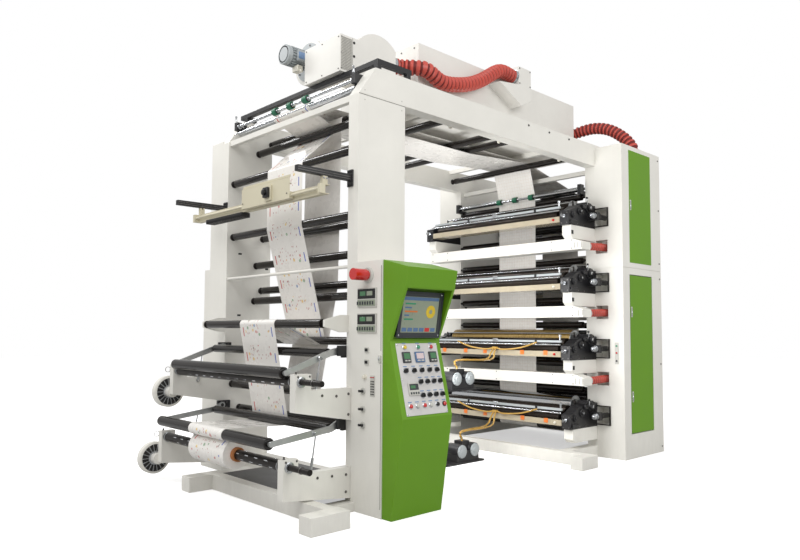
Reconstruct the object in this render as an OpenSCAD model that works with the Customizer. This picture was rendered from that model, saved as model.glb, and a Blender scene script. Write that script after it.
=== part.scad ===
// Stack-type printing press for film: a winding tower, a printing tower with
// four colour decks on each face, a bridge with the drying box between them
// and an operator console. X runs along the line, Y along the rollers, Z up.

/* [Side walls] */
// clear gap between the near and the far side walls
wall_gap = 1690; // [1200:10:2200]
// thickness of a side wall
wall_t = 110; // [60:5:160]
// length of the winding tower's walls along the line
winder_len = 450; // [300:10:700]
// length of the printing tower's walls along the line
print_len = 785; // [600:5:1000]
// start of the winding tower, from the front edge of the base
winder_x = 585; // [450:5:700]
// start of the printing tower, from the front edge of the base
print_x = 3690; // [3200:10:4200]
// height of the side walls
wall_h = 2900; // [2400:10:3200]

/* [Bridge] */
// height of the bridge side beams
beam_h = 220; // [150:5:320]
// length of the slope at the front end of the beams
beam_slope = 155; // [60:5:240]
// side of the square ties between the beams
tie_w = 44; // [25:1:70]

/* [Base] */
// height of the base beams
base_h = 112; // [80:2:160]
// width of the lengthways base beams
base_w = 126; // [80:2:180]
// setback of the front cross beam
base_setback = 190; // [100:5:300]
// height of the low beam under the near winding arm
link_h = 60; // [30:2:80]
// thickness along the line of the cross beams
cross_w = 90; // [50:5:140]
// near edge of the base's inner lengthways beam, from the centre plane
inner_beam_y = 290; // [150:10:500]
// reach of the printing tower's base past its walls
base_reach = 755; // [500:5:900]
// length of the printing base's outer side beams
outer_beam_len = 260; // [150:5:400]

/* [Cabinets] */
// depth of the drive cabinet across the machine
cabinet_d = 296; // [200:2:400]
// height of the drive cabinet
cabinet_h = 3083; // [2600:1:3400]
// depth of the far gear cover
cover_d = 190; // [120:5:300]
// height of the far gear cover over the walls
cover_rise = 25; // [0:5:80]
// depth of the low box on the far winding tower wall
low_box_d = 284; // [150:2:400]
// height of the low box
low_box_h = 1775; // [1200:5:2200]

/* [Doors] */
// width of both cabinet doors
door_w = 441; // [300:1:600]
// thickness of the doors
door_t = 18; // [10:1:30]
// gap round a door
door_gap = 9; // [8:0.5:12]
// distance of the doors from the cabinet's front edge
door_x = 135; // [80:5:250]
// bottom of the lower door
lower_door_z = 245; // [100:5:400]
// height of the lower door
lower_door_h = 1541; // [1000:1:1700]
// distance between the two doors
door_seam = 126; // [60:2:200]
// height of the upper door
upper_door_h = 1128; // [700:1:1150]
// depth of the space behind the lower door
cabinet_hollow = 190; // [120:5:260]

/* [Console] */
// length of the console along the line
console_len = 468; // [350:2:600]
// depth of the console's white case
case_d = 269; // [180:1:400]
// height of the console
console_h = 1697; // [1500:1:1900]
// reach of the hood past the case
hood_reach = 242; // [150:2:320]
// height of the hood's front lip
hood_lip_z = 1510; // [1400:2:1600]
// height of the waist between screen and panel
waist_z = 1156; // [1000:2:1250]
// reach of the waist past the case
waist_reach = 69; // [40:1:120]
// height of the nose under the panel
nose_z = 658; // [500:2:800]
// reach of the nose past the case
nose_reach = 191; // [120:1:260]
// reach of the foot past the case
foot_reach = 89; // [40:1:150]
// thickness of the case where it laps over the tower's wall
case_lip = 8; // [3:1:20]
// thickness of the cheeks beside the screen
cheek_t = 22; // [10:1:40]

/* [Rollers] */
// radius of the guide rollers
idler_r = 32; // [20:1:50]
// radius of the bare necks of the rollers
neck_r = 14; // [8:1:19]
// length of a bare neck
neck_l = 46; // [20:2:90]
// radius of the nip rollers
nip_r = 27; // [20:1:40]
// radius of the rubber rings on the nip rollers
ring_r = 30; // [24:1:50]

/* [Winding stations] */
// distance of the lower shaft from the base's front edge
low_shaft_x = 76; // [60:2:120]
// height of the lower shaft
low_shaft_z = 351; // [300:1:450]
// distance of the upper shaft from the base's front edge
up_shaft_x = 160; // [100:2:200]
// height of the upper shaft
up_shaft_z = 887; // [870:1:1000]
// radius of a winding shaft
shaft_r = 36; // [24:1:50]
// radius of the printed roll
roll_r = 107; // [80:1:110]
// radius of the lay-on rollers
layon_r = 40; // [25:1:45]
// distance of the lay-on pivots from the base's front edge
pivot_x = 548; // [520:2:560]
// radius of the winding clutches
clutch_r = 130; // [100:1:150]
// distance of the lower clutch from the base's front edge
clutch_x = 37; // [0:1:60]
// reach of the arms' front posts past the shafts
arm_reach = 45; // [40:1:70]
// thickness of the winding arms
arm_t = 62; // [40:1:100]

/* [Printing decks] */
// height of the lowest plate cylinder
deck_z = 497; // [400:1:600]
// pitch between decks
deck_pitch = 653; // [550:1:700]
// radius of the plate cylinders
plate_r = 100; // [60:1:110]
// distance of the plate cylinders from the wall's front edge
plate_x = 124; // [110:1:160]
// radius of the screened ink rollers
ink_r = 65; // [40:1:80]
// radius of the ink pan rollers
pan_r = 55; // [35:1:70]
// reach of the decks past the wall's front edge
deck_reach = 470; // [440:2:560]
// radius of the impression rollers
impression_r = 75; // [50:1:90]

/* [Film] */
// width of the film
film_w = 490; // [200:10:1400]
// thickness of the film as built
film_t = 1.5; // [1:0.1:3]
// clearance between the film and a roller
film_gap = 0.5; // [0.3:0.1:2]

/* [Top equipment] */
// half width of the drying box
dryer_half = 531; // [400:1:700]
// start of the drying box along the line
dryer_x = 1595; // [1400:5:1900]
// length of the drying box
dryer_len = 2390; // [1800:10:2600]
// height of the drying box
dryer_h = 567; // [350:1:650]
// radius of the long air hose
hose_r = 66; // [45:1:75]
// radius of the short air hose
short_hose_r = 62; // [40:1:70]
// height of the blower's underside over the beams
blower_rise = 98; // [60:2:160]

/* [Camera rail] */
// height of the camera arms
arm_z = 2297; // [2000:1:2500]
// reach of the camera arms from the wall
arm_len = 465; // [300:5:550]
// distance of the camera rail from the base's front edge
rail_x = 350; // [300:5:420]

/* [Hidden] */

$fn = 48;

half_gap = wall_gap / 2;
wall_out = half_gap + wall_t;
beam_top = wall_h + beam_h;
near_face = wall_out + cabinet_d;
print_end = print_x + print_len;
tower_mid = print_x + print_len / 2;
winder_end = winder_x + winder_len;
low_front = low_shaft_x - arm_reach;
line_front = min(low_front, clutch_x - clutch_r);
base_end = print_end + base_reach;
case_face = wall_out + case_d;
low_box_out = wall_out + low_box_d;
upper_door_z = lower_door_z + lower_door_h + door_seam;
cabinet_seam_z = upper_door_z - 54;
groove = 5;
dryer_end = dryer_x + dryer_len;
mid_x = (line_front + base_end) / 2;
mid_y = (max(low_box_out, near_face) - case_face - hood_reach) / 2;
wall_mid = half_gap + wall_t / 2;
arm_face = half_gap + arm_t;
case_x = winder_x - case_lip;

seat = 0.3;
bore_gap = 0.05;
film_r = film_gap + film_t / 2;
film_x = print_x - plate_x + plate_r + 1;
print_idler_x = film_x + film_t + film_gap + idler_r;
impression_x = film_x + film_t + film_gap + impression_r;

// heights of the guide rollers and their distances from the base's front edge
start_roller = [737, 543];
rise_rollers = [[941, 1585], [950, 2060]];
corner_roller = [1030, 2952];
under_nip_roller = [895, 2842];
front_rollers = [[645, 2524], [645, 2049]];
inner_roller = [820, 1145];
spare_rollers = [[885, 1809], [868, 1488], [660, 754]];
guide_pos = [410, 1272];
bridge_z = 2995;
bridge_rollers = [winder_end + 676, winder_end + 1319, winder_end + 1565, print_x - 149];
winder_nip = [690, 2992];
print_nip_z = 2690;
return_roller_z = 2800;
low_back = [480, 549];
low_front_roller = [low_shaft_x - 76, low_shaft_z + 141];
up_back = [464, 1068];
up_front_roller = [up_shaft_x, up_shaft_z] + (shaft_r + layon_r + 2) * [-0.7, 0.714];
up_pivot_z = 1083;
low_pivot_z = 580;

module place() {
  translate([-mid_x, -mid_y, 0]) children();
}

// block between two corners
module block(a, b) {
  translate(a) cube(b - a);
}

// round bar along Y at [x, z]
module bar_y(pos, r, y0, y1) {
  translate([pos[0], y1, pos[1]]) rotate([90, 0, 0]) cylinder(r = r, h = y1 - y0);
}

// flat shape drawn in X and Z, thickened along Y
module plate_y(y0, y1) {
  translate([0, y1, 0]) rotate([90, 0, 0]) linear_extrude(y1 - y0) children();
}

// flat shape drawn in Y and Z, thickened along X
module plate_x_dir(x0, x1) {
  translate([x0, 0, 0]) rotate([90, 0, 90]) linear_extrude(x1 - x0) children();
}

module both_sides() {
  children();
  mirror([0, 1, 0]) children();
}

module both_faces() {
  children();
  translate([2 * tower_mid, 0, 0]) mirror([1, 0, 0]) children();
}

// guide roller whose necks rest in the side walls
module idler(pos, r = idler_r) {
  bar_y(pos, r, -half_gap + neck_l, half_gap - neck_l);
  bar_y(pos, neck_r, -half_gap, half_gap);
}

// tube through a row of points
module tube(points, r, sides) {
  count = len(points);
  function heading(i) = let(
    a = points[max(i - 1, 0)],
    b = points[min(i + 1, count - 1)]
  ) (b - a) / norm(b - a);
  function side(h) = let(c = abs(h[2]) > 0.9 ? cross([1, 0, 0], h) : cross([0, 0, 1], h)) c / norm(c);
  function ring(i) = let(
    h = heading(i),
    u = side(h),
    w = cross(h, u)
  ) [for (k = [0:sides - 1]) points[i] + r * (u * cos(360 * k / sides) + w * sin(360 * k / sides))];
  rings = [for (i = [0:count - 1]) each ring(i)];
  walls = [for (i = [0:count - 2], k = [0:sides - 1]) [
    i * sides + k,
    (i + 1) * sides + k,
    (i + 1) * sides + (k + 1) % sides,
    i * sides + (k + 1) % sides
  ]];
  start = [for (k = [0:sides - 1]) k];
  finish = [for (k = [0:sides - 1]) count * sides - 1 - k];
  polyhedron(points = rings, faces = concat(walls, [start], [finish]), convexity = 6);
}

// smooth curve through given points, in steps
function bend(p, steps = 6) = [
  for (i = [0:len(p) - 2], s = [0:steps - 1])
    let(
      t = s / steps,
      a = p[max(i - 1, 0)],
      b = p[i],
      c = p[i + 1],
      d = p[min(i + 2, len(p) - 1)]
    ) 0.5 * (2 * b + (c - a) * t + (2 * a - 5 * b + 4 * c - d) * t * t
      + (3 * b - a - 3 * c + d) * t * t * t),
  p[len(p) - 1]
];

// hose route that leaves its start along a and reaches its end along b, with a
// short straight run at both ends
function hose_route(start, a, mids, finish, b) = let(
  steps = 6,
  first = start + 25 * a,
  last = finish - 25 * b,
  full = bend(concat([first - 100 * a, first], mids, [last, last + 100 * b]), steps)
) concat([start], [for (i = [steps:len(full) - 1 - steps]) full[i]], [finish]);

// direction of the film from roller a to roller b, each [x, z, radius, turn]
function run_dir(a, b) = let(
  d = [b[0] - a[0], b[1] - a[1]],
  rise = b[3] * (b[2] + film_r) - a[3] * (a[2] + film_r)
) atan2(d[1], d[0]) - asin(rise / norm(d));
function wrap(turn, s) = let(
  raw = s * turn,
  full = raw - 360 * floor(raw / 360)
) full > 300 ? 0 : full;
function film_side(path, off) = [
  for (i = [0:len(path) - 1])
    let(
      p = path[i],
      last = len(path) - 1,
      first_dir = i == 0 ? run_dir(p, path[1]) : run_dir(path[i - 1], p),
      next_dir = i == last ? first_dir : run_dir(p, path[i + 1]),
      sweep = wrap(next_dir - first_dir, p[3]),
      steps = max(1, ceil(sweep / 15))
    )
      for (k = [0:(sweep < 0.5 ? 0 : steps)])
        let(
          dir = first_dir + p[3] * sweep * k / steps,
          reach = off - p[3] * (p[2] + film_r)
        ) [p[0] - reach * sin(dir), p[1] + reach * cos(dir)]
];
module film(path) {
  upper = film_side(path, film_t / 2);
  lower = film_side(path, -film_t / 2);
  count = len(lower);
  plate_y(-film_w / 2, film_w / 2)
    polygon(concat(upper, [for (i = [0:count - 1]) lower[count - 1 - i]]));
}

// flat link from one eye to another, drawn in X and Z
module link_shape(a, b, ra, rb) {
  way = (b - a) / norm(b - a);
  side = [-way[1], way[0]];
  translate(a) circle(ra);
  translate(b) circle(rb);
  polygon([a + side * ra, b + side * rb, b - side * rb, a - side * ra]);
}

module base_frame() {
  color("white") {
    near = -near_face;
    back = base_setback + cross_w;
    block([0, near, 0], [back + 20, near + base_w, base_h]);
    block([base_setback, near + base_w, 0], [back, inner_beam_y, base_h]);
    block([0, inner_beam_y, 0], [winder_end, inner_beam_y + base_w, base_h]);
    block([back, -wall_out, 0], [winder_x, -half_gap, link_h]);
    block([winder_end - cross_w, -half_gap, 0], [winder_end, half_gap, base_h]);
    cross_end = print_x - base_reach + outer_beam_len;
    rear_cross = base_end - outer_beam_len;
    both_sides() {
      block([print_x - base_reach, near, 0], [cross_end, near + base_w, base_h]);
      block([cross_end - cross_w, near + base_w, 0], [cross_end, 0, base_h]);
      block([cross_end, -wall_out, 0], [print_x, -half_gap, base_h]);
      block([print_end, -wall_out, 0], [rear_cross, -half_gap, base_h]);
      block([rear_cross, -wall_out, 0], [rear_cross + cross_w, 0, base_h]);
      block([rear_cross + cross_w, -half_gap, 0], [base_end, -half_gap + base_w, base_h]);
    }
  }
}

module floor_plates() {
  color("dimgray")
    block([base_setback + cross_w, -half_gap, base_h - 12], [winder_end - cross_w, inner_beam_y, base_h]);
}

module winder_side_walls() {
  color("white") both_sides()
    block([winder_x, half_gap, 0], [winder_end, wall_out, wall_h]);
}

module bridge_beams() {
  color("white") both_sides() plate_y(half_gap, wall_out)
    polygon([
      [winder_x, wall_h],
      [winder_x + beam_slope, beam_top],
      [print_end, beam_top],
      [print_end, wall_h]
    ]);
}

module bridge_ties() {
  tie_z = beam_top - tie_w;
  color("white") {
    for (x = [winder_end + 645, winder_end + 1605, print_x - 210, print_x + 230])
      block([x, -half_gap, tie_z], [x + tie_w, half_gap, beam_top]);
    block([596, -half_gap, 2863], [596 + tie_w, half_gap, 2863 + tie_w]);
    block([3750, -half_gap, 2847], [3750 + tie_w, half_gap, 2847 + tie_w]);
    bar_y([603, 1675], 12, -half_gap, half_gap);
  }
}

module print_side_walls() {
  color("white") both_sides()
    block([print_x, half_gap, 0], [print_end, wall_out, wall_h]);
}

spindle_y = wall_out + 75;
hose_y = wall_out + 68;
duct_drop = 326;
duct_h = 110;
hinge_inset = 8;
rear_gap = 10;

module cabinet_pockets() {
  for (k = [0:3])
    block(
      [print_x - 1, -spindle_y - 66, deck_z + k * deck_pitch - 170],
      [print_x + 100, -spindle_y + 66, deck_z + k * deck_pitch - 5]
    );
  for (k = [1:3])
    block(
      [print_x - 1, -hose_y - 65, deck_z + k * deck_pitch - duct_drop - duct_h / 2 - 66],
      [print_x + 100, -hose_y + 65, deck_z + k * deck_pitch - duct_drop - duct_h / 2 + 66]
    );
}

module drive_cabinet() {
  x0 = print_x + door_x;
  x1 = x0 + door_w;
  hinge_x = x1 - hinge_inset;
  hinge_y = -near_face + door_t / 2;
  color("white") difference() {
    block([print_x, -near_face, 0], [print_end, -wall_out, cabinet_h]);
    block(
      [x0 - door_gap, -near_face - 1, lower_door_z - door_gap],
      [x1 + door_gap, -near_face + door_t + rear_gap, lower_door_z + lower_door_h + door_gap]
    );
    block(
      [x0 + 20, -near_face, lower_door_z + 25],
      [x1 - 20, -near_face + door_t + rear_gap + cabinet_hollow, lower_door_z + lower_door_h - 25]
    );
    block([x0, -near_face - 1, upper_door_z], [x1, -near_face + door_t, upper_door_z + upper_door_h]);
    for (z = [lower_door_z - door_gap - 16, lower_door_z + lower_door_h + door_gap - 1])
      translate([hinge_x, hinge_y, z]) cylinder(r = 4 + bore_gap, h = 17);
    both_faces() cabinet_pockets();
    block([print_x - 1, -near_face - 1, cabinet_seam_z], [print_end + 1, -near_face + groove, cabinet_seam_z + groove]);
    both_faces()
      block([print_x - 1, -near_face - 1, cabinet_seam_z], [print_x + groove, -wall_out + 1, cabinet_seam_z + groove]);
  }
}

module far_covers() {
  color("white") {
    block([winder_x, wall_out, 0], [winder_end, wall_out + cover_d, wall_h + cover_rise]);
    block([winder_x, wall_out + cover_d, 0], [winder_end, low_box_out, low_box_h]);
    block([print_x, wall_out, 0], [print_end, wall_out + cover_d + 40, cabinet_h]);
  }
}

module upper_door() {
  x0 = print_x + door_x;
  color("limegreen")
    block(
      [x0, -near_face - 2, upper_door_z],
      [x0 + door_w, -near_face + door_t, upper_door_z + upper_door_h]
    );
}

module lower_door() {
  x0 = print_x + door_x;
  x1 = x0 + door_w;
  color("limegreen") {
    block([x0, -near_face, lower_door_z], [x1, -near_face + door_t, lower_door_z + lower_door_h]);
    for (z = [lower_door_z - door_gap - 12, lower_door_z + lower_door_h - 2])
      translate([x1 - hinge_inset, -near_face + door_t / 2, z])
        cylinder(r = 4, h = door_gap + 14);
  }
}

module console_case() {
  color("white") {
    block([case_x, -case_face, 0], [winder_x + console_len, -wall_out, console_h]);
    block([case_x, -wall_out - 1, link_h], [winder_x, -arm_face - 1, console_h]);
  }
}

screen_top = [118, hood_lip_z - 10];
screen_low = [waist_reach - 2, waist_z + 14];
screen_tilt = atan((screen_top[0] - screen_low[0]) / (screen_top[1] - screen_low[1]));
panel_tilt = -atan((nose_reach - waist_reach) / (waist_z - nose_z));
console_mid = winder_x + console_len / 2;

module console_front() {
  color("limegreen") difference() {
    plate_x_dir(winder_x, winder_x + console_len)
      polygon([
        [-case_face, 0],
        [-case_face, console_h],
        [-case_face - hood_reach, console_h - 62],
        [-case_face - hood_reach + 25, hood_lip_z],
        [-case_face - waist_reach, waist_z],
        [-case_face - nose_reach, nose_z],
        [-case_face - foot_reach, 0]
      ]);
    plate_x_dir(winder_x + cheek_t, winder_x + console_len - cheek_t)
      polygon([
        [-case_face - screen_low[0], screen_low[1]],
        [-case_face - screen_top[0], screen_top[1]],
        [-case_face - hood_reach - 50, screen_top[1]],
        [-case_face - hood_reach - 50, screen_low[1]]
      ]);
  }
}

module console_screen() {
  mid = (screen_top + screen_low) / 2;
  color("darkslategray")
    translate([console_mid, -case_face - mid[0], mid[1]]) rotate([screen_tilt, 0, 0]) difference() {
      block([-200, -26, -152], [200, 0, 152]);
      block([-170, -27, -122], [170, -20, 122]);
    }
}

module control_panel() {
  mid_z = (waist_z + nose_z) / 2;
  mid_d = (waist_reach + nose_reach) / 2;
  color("silver")
    translate([console_mid, -case_face - mid_d, mid_z]) rotate([panel_tilt, 0, 0])
      block([-194, -5, -240], [194, 0, 240]);
}

module signal_beacon() {
  color("red") translate([case_x, -near_face + 171, 1600]) rotate([0, -90, 0]) {
    cylinder(r = 34, h = 30);
    translate([0, 0, 30]) cylinder(r = 40, h = 105);
  }
}

module tension_controllers() {
  color("lightgray") {
    for (z = [1382, 1209])
      block([case_x - 12, -case_face + 51, z], [case_x, -case_face + 245, z + 132]);
    for (z = [1076, 994])
      block([case_x - 9, -case_face + 130, z], [case_x, -case_face + 168, z + 36]);
    block([case_x - 5, -case_face + 66, 785], [case_x, -case_face + 112, 925]);
  }
}

inlet_x = 1228;
inlet_d = 2 * hose_r + 4;

module dryer_housing() {
  near = -dryer_half;
  color("white") {
    block([dryer_x, near, beam_top], [dryer_x + dryer_len, dryer_half, beam_top + dryer_h]);
    block([dryer_x + inlet_x, near - inlet_d, 3600], [dryer_x + 1422, near, 3780]);
    plate_y(near - inlet_d, near)
      polygon([
        [dryer_x + 935, 3560],
        [dryer_x + inlet_x, 3600],
        [dryer_x + 1422, 3600],
        [dryer_x + 1422, 3480],
        [dryer_x + 1270, 3400]
      ]);
  }
}

blower_z = beam_top + blower_rise;
blower_end = 1330;
heater_x = 747;
heater_len = 198;
drum_y = 99;
drum_z = 3502;
drum_r = 195;
blower_far = 463 - dryer_half;

module blower_housing() {
  near = -dryer_half;
  far = blower_far;
  scroll_mid = (heater_x + heater_len + blower_end) / 2;
  color("white") {
    difference() {
      union() {
        block([heater_x, near, blower_z], [heater_x + heater_len, far, blower_z + 292]);
        intersection() {
          block([heater_x + heater_len - 20, near, blower_z], [blower_end, far, blower_z + 400]);
          bar_y([scroll_mid, blower_z + 130], 262, near, far);
        }
      }
      bar_y([scroll_mid + 10, blower_z - 125], 210, near - 1, far + 1);
    }
    block([blower_end - 60, near + 200, blower_z + 100], [dryer_x, far - 40, blower_z + 240]);
    translate([905, drum_y, drum_z]) rotate([0, 90, 0]) cylinder(r = drum_r, h = 190);
  }
}

module blower_motor() {
  color("darkgray") translate([905, drum_y, drum_z]) rotate([0, -90, 0]) {
    cylinder(r = drum_y - blower_far - 5, h = 10);
    translate([0, 0, 10]) cylinder(r = 62, h = 60);
    translate([0, 0, 70]) cylinder(r = 70, h = 185);
  }
}

module long_air_hose() {
  y = -dryer_half - hose_r - 18;
  start = [blower_end + seat, -dryer_half + hose_r + 2, 3440];
  finish = [dryer_x + inlet_x - seat, -dryer_half - hose_r - 2, 3690];
  color("firebrick") tube(hose_route(start, [1, 0, 0], [
    start + [110, -29, 0],
    start + [200, -117, -5],
    [dryer_x + 25, y, 3425],
    [1812, y, 3371],
    [2086, y, 3424],
    [2307, y, 3517],
    [2583, y + 4, 3680]
  ], finish, [1, 0, 0]), hose_r, 12);
}

module short_air_hose() {
  start = [dryer_end + seat, -396, beam_top + 265];
  finish = [dryer_end + 200, -1112, cabinet_h + seat];
  color("firebrick") tube(hose_route(start, [1, 0, 0], [
    start + [110, -24, 20],
    start + [165, -124, 55],
    [dryer_end + 180, -680, beam_top + 325],
    [dryer_end + 187, -850, cabinet_h + 312],
    [dryer_end + 195, -1000, cabinet_h + 207],
    [dryer_end + 200, -1090, cabinet_h + 97]
  ], finish, [0, 0, -1]), short_hose_r, 12);
}

module top_rail() {
  low = beam_top + 52;
  top = low + 40;
  x = 787;
  color("black") {
    block([x, -wall_mid - 20, low], [x + 40, 1000, top]);
    block([x, -wall_mid - 20, low], [x + 350, -wall_mid + 20, top]);
    block([x, 960, low], [x + 150, 1000, top]);
    block([x + 300, -wall_mid - 20, beam_top], [x + 340, -wall_mid + 20, low]);
    block([x, -wall_mid - 20, beam_top], [x + 40, -wall_mid + 20, low]);
    block([x, wall_mid - 20, beam_top], [x + 40, wall_mid + 20, low]);
  }
}

winder_ring_pos = winder_nip + (nip_r + ring_r + 4.2) * [-0.492, 0.871];
print_nip = [film_x + film_t + film_gap + nip_r, print_nip_z];
print_ring_pos = [film_x - film_gap - ring_r, print_nip_z - 14];
ring_shaft_r = 13;
ring_w = 52;
ring_pitch = 215;
nip_block_t = 40;

module nip_rollers() {
  color("silver") {
    for (p = [winder_nip, print_nip]) idler(p, nip_r);
    for (p = [winder_ring_pos, print_ring_pos])
      bar_y(p, ring_shaft_r, -half_gap + nip_block_t, half_gap - nip_block_t);
  }
}

module nip_rings() {
  color("seagreen") for (p = [winder_ring_pos, print_ring_pos], k = [-1:1])
    difference() {
      y = k * ring_pitch;
      bar_y(p, ring_r, y - ring_w / 2, y + ring_w / 2);
      bar_y(p, ring_shaft_r + seat, y - ring_w / 2 - 1, y + ring_w / 2 + 1);
    }
}

module nip_blocks() {
  inner = half_gap - nip_block_t;
  clear_z = print_nip_z - nip_r - 2;
  color("black") both_sides() {
    block(
      [winder_ring_pos[0] - 25, inner, winder_nip[1] + neck_r + 4],
      [winder_x + beam_slope, half_gap, winder_ring_pos[1] + 40]
    );
    block([print_ring_pos[0] - 32, inner, clear_z - 36], [print_x + 60, half_gap, clear_z]);
    block([print_ring_pos[0] - 32, inner, clear_z - 1], [print_ring_pos[0] + 32, half_gap, print_nip_z + 35]);
  }
}

module frame_idlers() {
  color("black") {
    for (p = concat(rise_rollers, front_rollers, spare_rollers)) idler(p);
    for (p = [start_roller, corner_roller, under_nip_roller, inner_roller, guide_pos]) idler(p);
    for (x = bridge_rollers) idler([x, bridge_z]);
  }
}

deck_idler_z = [for (k = [0:3], rise = [-247, 150]) deck_z + k * deck_pitch + rise];

module print_idlers() {
  color("black") both_faces() {
    for (z = deck_idler_z) idler([print_idler_x, z]);
    for (k = [0:3]) idler([impression_x, deck_z + k * deck_pitch], impression_r);
  }
  color("black") idler([2 * tower_mid - print_idler_x, return_roller_z]);
}

module guide_brackets() {
  color("white") both_sides() plate_y(half_gap, half_gap + 20)
    polygon([
      [guide_pos[0] - 34, guide_pos[1] - 24],
      [guide_pos[0] - 34, guide_pos[1] + 24],
      [winder_x - 70, guide_pos[1] + 60],
      [winder_x, guide_pos[1] + 60],
      [winder_x, guide_pos[1] - 60],
      [winder_x - 70, guide_pos[1] - 60]
    ]);
}

arm_drop = 20;

module camera_arms() {
  color("black") both_sides() {
    plate_y(half_gap + 8, half_gap + 44)
      polygon([
        [winder_x - arm_len, arm_z - arm_drop],
        [winder_x - arm_len, arm_z + 22],
        [winder_x - 10, arm_z + 28],
        [winder_x - 10, arm_z - arm_drop]
      ]);
    block([winder_x - 12, half_gap, arm_z - 60], [winder_x, half_gap + 60, arm_z + 60]);
  }
}

rail_z = arm_z - 147;
rod_z = rail_z + 36;
rod_x = rail_x - 44;

module camera_rail() {
  color("beige") {
    difference() {
      block([rail_x - 20, -wall_mid - 10, rail_z], [rail_x + 20, wall_mid + 10, rail_z + 66]);
      block([rail_x - 15, -wall_mid - 11, rail_z + 5], [rail_x + 21, wall_mid + 11, rail_z + 61]);
    }
    both_sides() {
      block([rail_x - 20, half_gap + 10, rail_z + 60], [rail_x + 20, half_gap + 42, arm_z - arm_drop]);
      block([rod_x - 16, wall_mid - 20, rail_z], [rail_x - 15, wall_mid + 10, rail_z + 66]);
    }
    bar_y([rod_x, rod_z], 10, -wall_mid + 20, wall_mid - 20);
  }
}

module camera_carriage() {
  color("wheat") difference() {
    union() {
      block([rod_x - 20, -550, rod_z - 26], [rod_x + 18, 100, rod_z + 26]);
      block([rod_x - 20, -550, rod_z + 20], [rod_x - 14, 100, rod_z + 128]);
      block([rod_x - 20, -400, rod_z + 122], [rail_x + 60, 100, rod_z + 128]);
    }
    bar_y([rod_x, rod_z], 10 + bore_gap, -551, 101);
  }
}

journal_r = 20;
low_arm_top = 295;
up_arm_top = 831;
strut_foot = [330, 800];

// plate of a winding arm: a post round the shaft and a beam that gets deeper
// towards the wall
module winding_arm(shaft, back, rise, top, low_post, low_wall) {
  difference() {
    plate_y(half_gap, arm_face) polygon([
      [shaft[0] - arm_reach, low_post],
      [shaft[0] - arm_reach, shaft[1] + rise],
      [shaft[0] + back, shaft[1] + rise],
      [shaft[0] + back, top],
      [winder_x, top],
      [winder_x, low_wall]
    ]);
    bar_y(shaft, journal_r + bore_gap, half_gap - 1, arm_face + 1);
  }
}

module winding_arms() {
  color("white") both_sides() {
    winding_arm([low_shaft_x, low_shaft_z], 70, 48, low_arm_top, base_h + 30, link_h + 22);
    winding_arm([up_shaft_x, up_shaft_z], 80, 50, up_arm_top, 690, 608);
    bar_y(strut_foot, 6, strut_in, half_gap);
  }
}

arm_in = half_gap - 45;
arm_out = half_gap - 27;
strut_in = half_gap - 23;
strut_mid = half_gap - 13;
pin_r = 15;

module pivot_brackets() {
  color("black") both_sides() for (z = [up_pivot_z, low_pivot_z]) {
    block([pivot_x - 32, arm_out + 5, z - 36], [winder_x + 50, half_gap, z + 36]);
    bar_y([pivot_x, z], pin_r, arm_in, arm_out + 5);
  }
}

module layon_frame(pivot, back, front) {
  both_sides() difference() {
    plate_y(arm_in, arm_out) union() {
      link_shape(pivot, back, 26, 22);
      link_shape(back, front, 22, 18);
    }
    bar_y(pivot, pin_r + bore_gap, arm_in - 1, arm_out + 1);
  }
  for (p = [[back, idler_r], [front, layon_r]]) {
    bar_y(p[0], p[1], -arm_in + 14, arm_in - 14);
    bar_y(p[0], neck_r, -arm_in, arm_in);
  }
}

up_strut_head = up_back + (up_front_roller - up_back) * 0.27;

module upper_layon_frame() {
  color("silver") {
    layon_frame([pivot_x, up_pivot_z], up_back, up_front_roller);
    both_sides() bar_y(up_strut_head, 5, arm_out, strut_mid + 8);
  }
}

module lower_layon_frame() {
  color("silver") layon_frame([pivot_x, low_pivot_z], low_back, low_front_roller);
}

strut_way = (up_strut_head - strut_foot) / norm(up_strut_head - strut_foot);
strut_eye_r = 9.5;

module upper_strut_tubes() {
  color("silver") both_sides() difference() {
    union() {
      bar_y(strut_foot, 12, strut_in, half_gap - 4);
      translate([strut_foot[0], strut_mid, strut_foot[1]])
        rotate([0, atan2(strut_way[0], strut_way[1]), 0])
          difference() {
            cylinder(r = 9, h = 140);
            translate([0, 0, 20]) cylinder(r = 5 + bore_gap, h = 121);
          }
    }
    bar_y(strut_foot, 6 + bore_gap, strut_in - 1, half_gap);
  }
}

module upper_strut_rods() {
  start = strut_foot + strut_way * 60;
  reach = norm(up_strut_head - start);
  color("silver") both_sides() difference() {
    union() {
      translate([start[0], strut_mid, start[1]])
        rotate([0, atan2(strut_way[0], strut_way[1]), 0]) cylinder(r = 5, h = reach);
      bar_y(up_strut_head, strut_eye_r + 6, strut_in, half_gap - 4);
    }
    bar_y(up_strut_head, strut_eye_r, strut_in - 1, half_gap);
  }
}

module lower_struts() {
  foot = [300, low_arm_top];
  head = low_back + (low_front_roller - low_back) * 0.3;
  way = head - foot;
  color("silver") both_sides() {
    bar_y(foot + [0, -10], 10, strut_in, half_gap);
    translate([foot[0], strut_mid, foot[1] - 10]) rotate([0, atan2(way[0], way[1]), 0]) {
      cylinder(r = 9, h = 90);
      cylinder(r = 5, h = norm(way) + 10);
    }
    bar_y(head, 10, arm_out, half_gap - 4);
  }
}

module winding_shaft(pos) {
  bar_y(pos, shaft_r, -half_gap + 30, half_gap - 30);
  bar_y(pos, journal_r + 8, -half_gap + 5, half_gap - 5);
  bar_y(pos, journal_r, -wall_out - 175, wall_out + 12);
}

module upper_winding_shaft() {
  color("dimgray") winding_shaft([up_shaft_x, up_shaft_z]);
}

module lower_winding_shaft() {
  color("dimgray") winding_shaft([low_shaft_x, low_shaft_z]);
}

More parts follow.
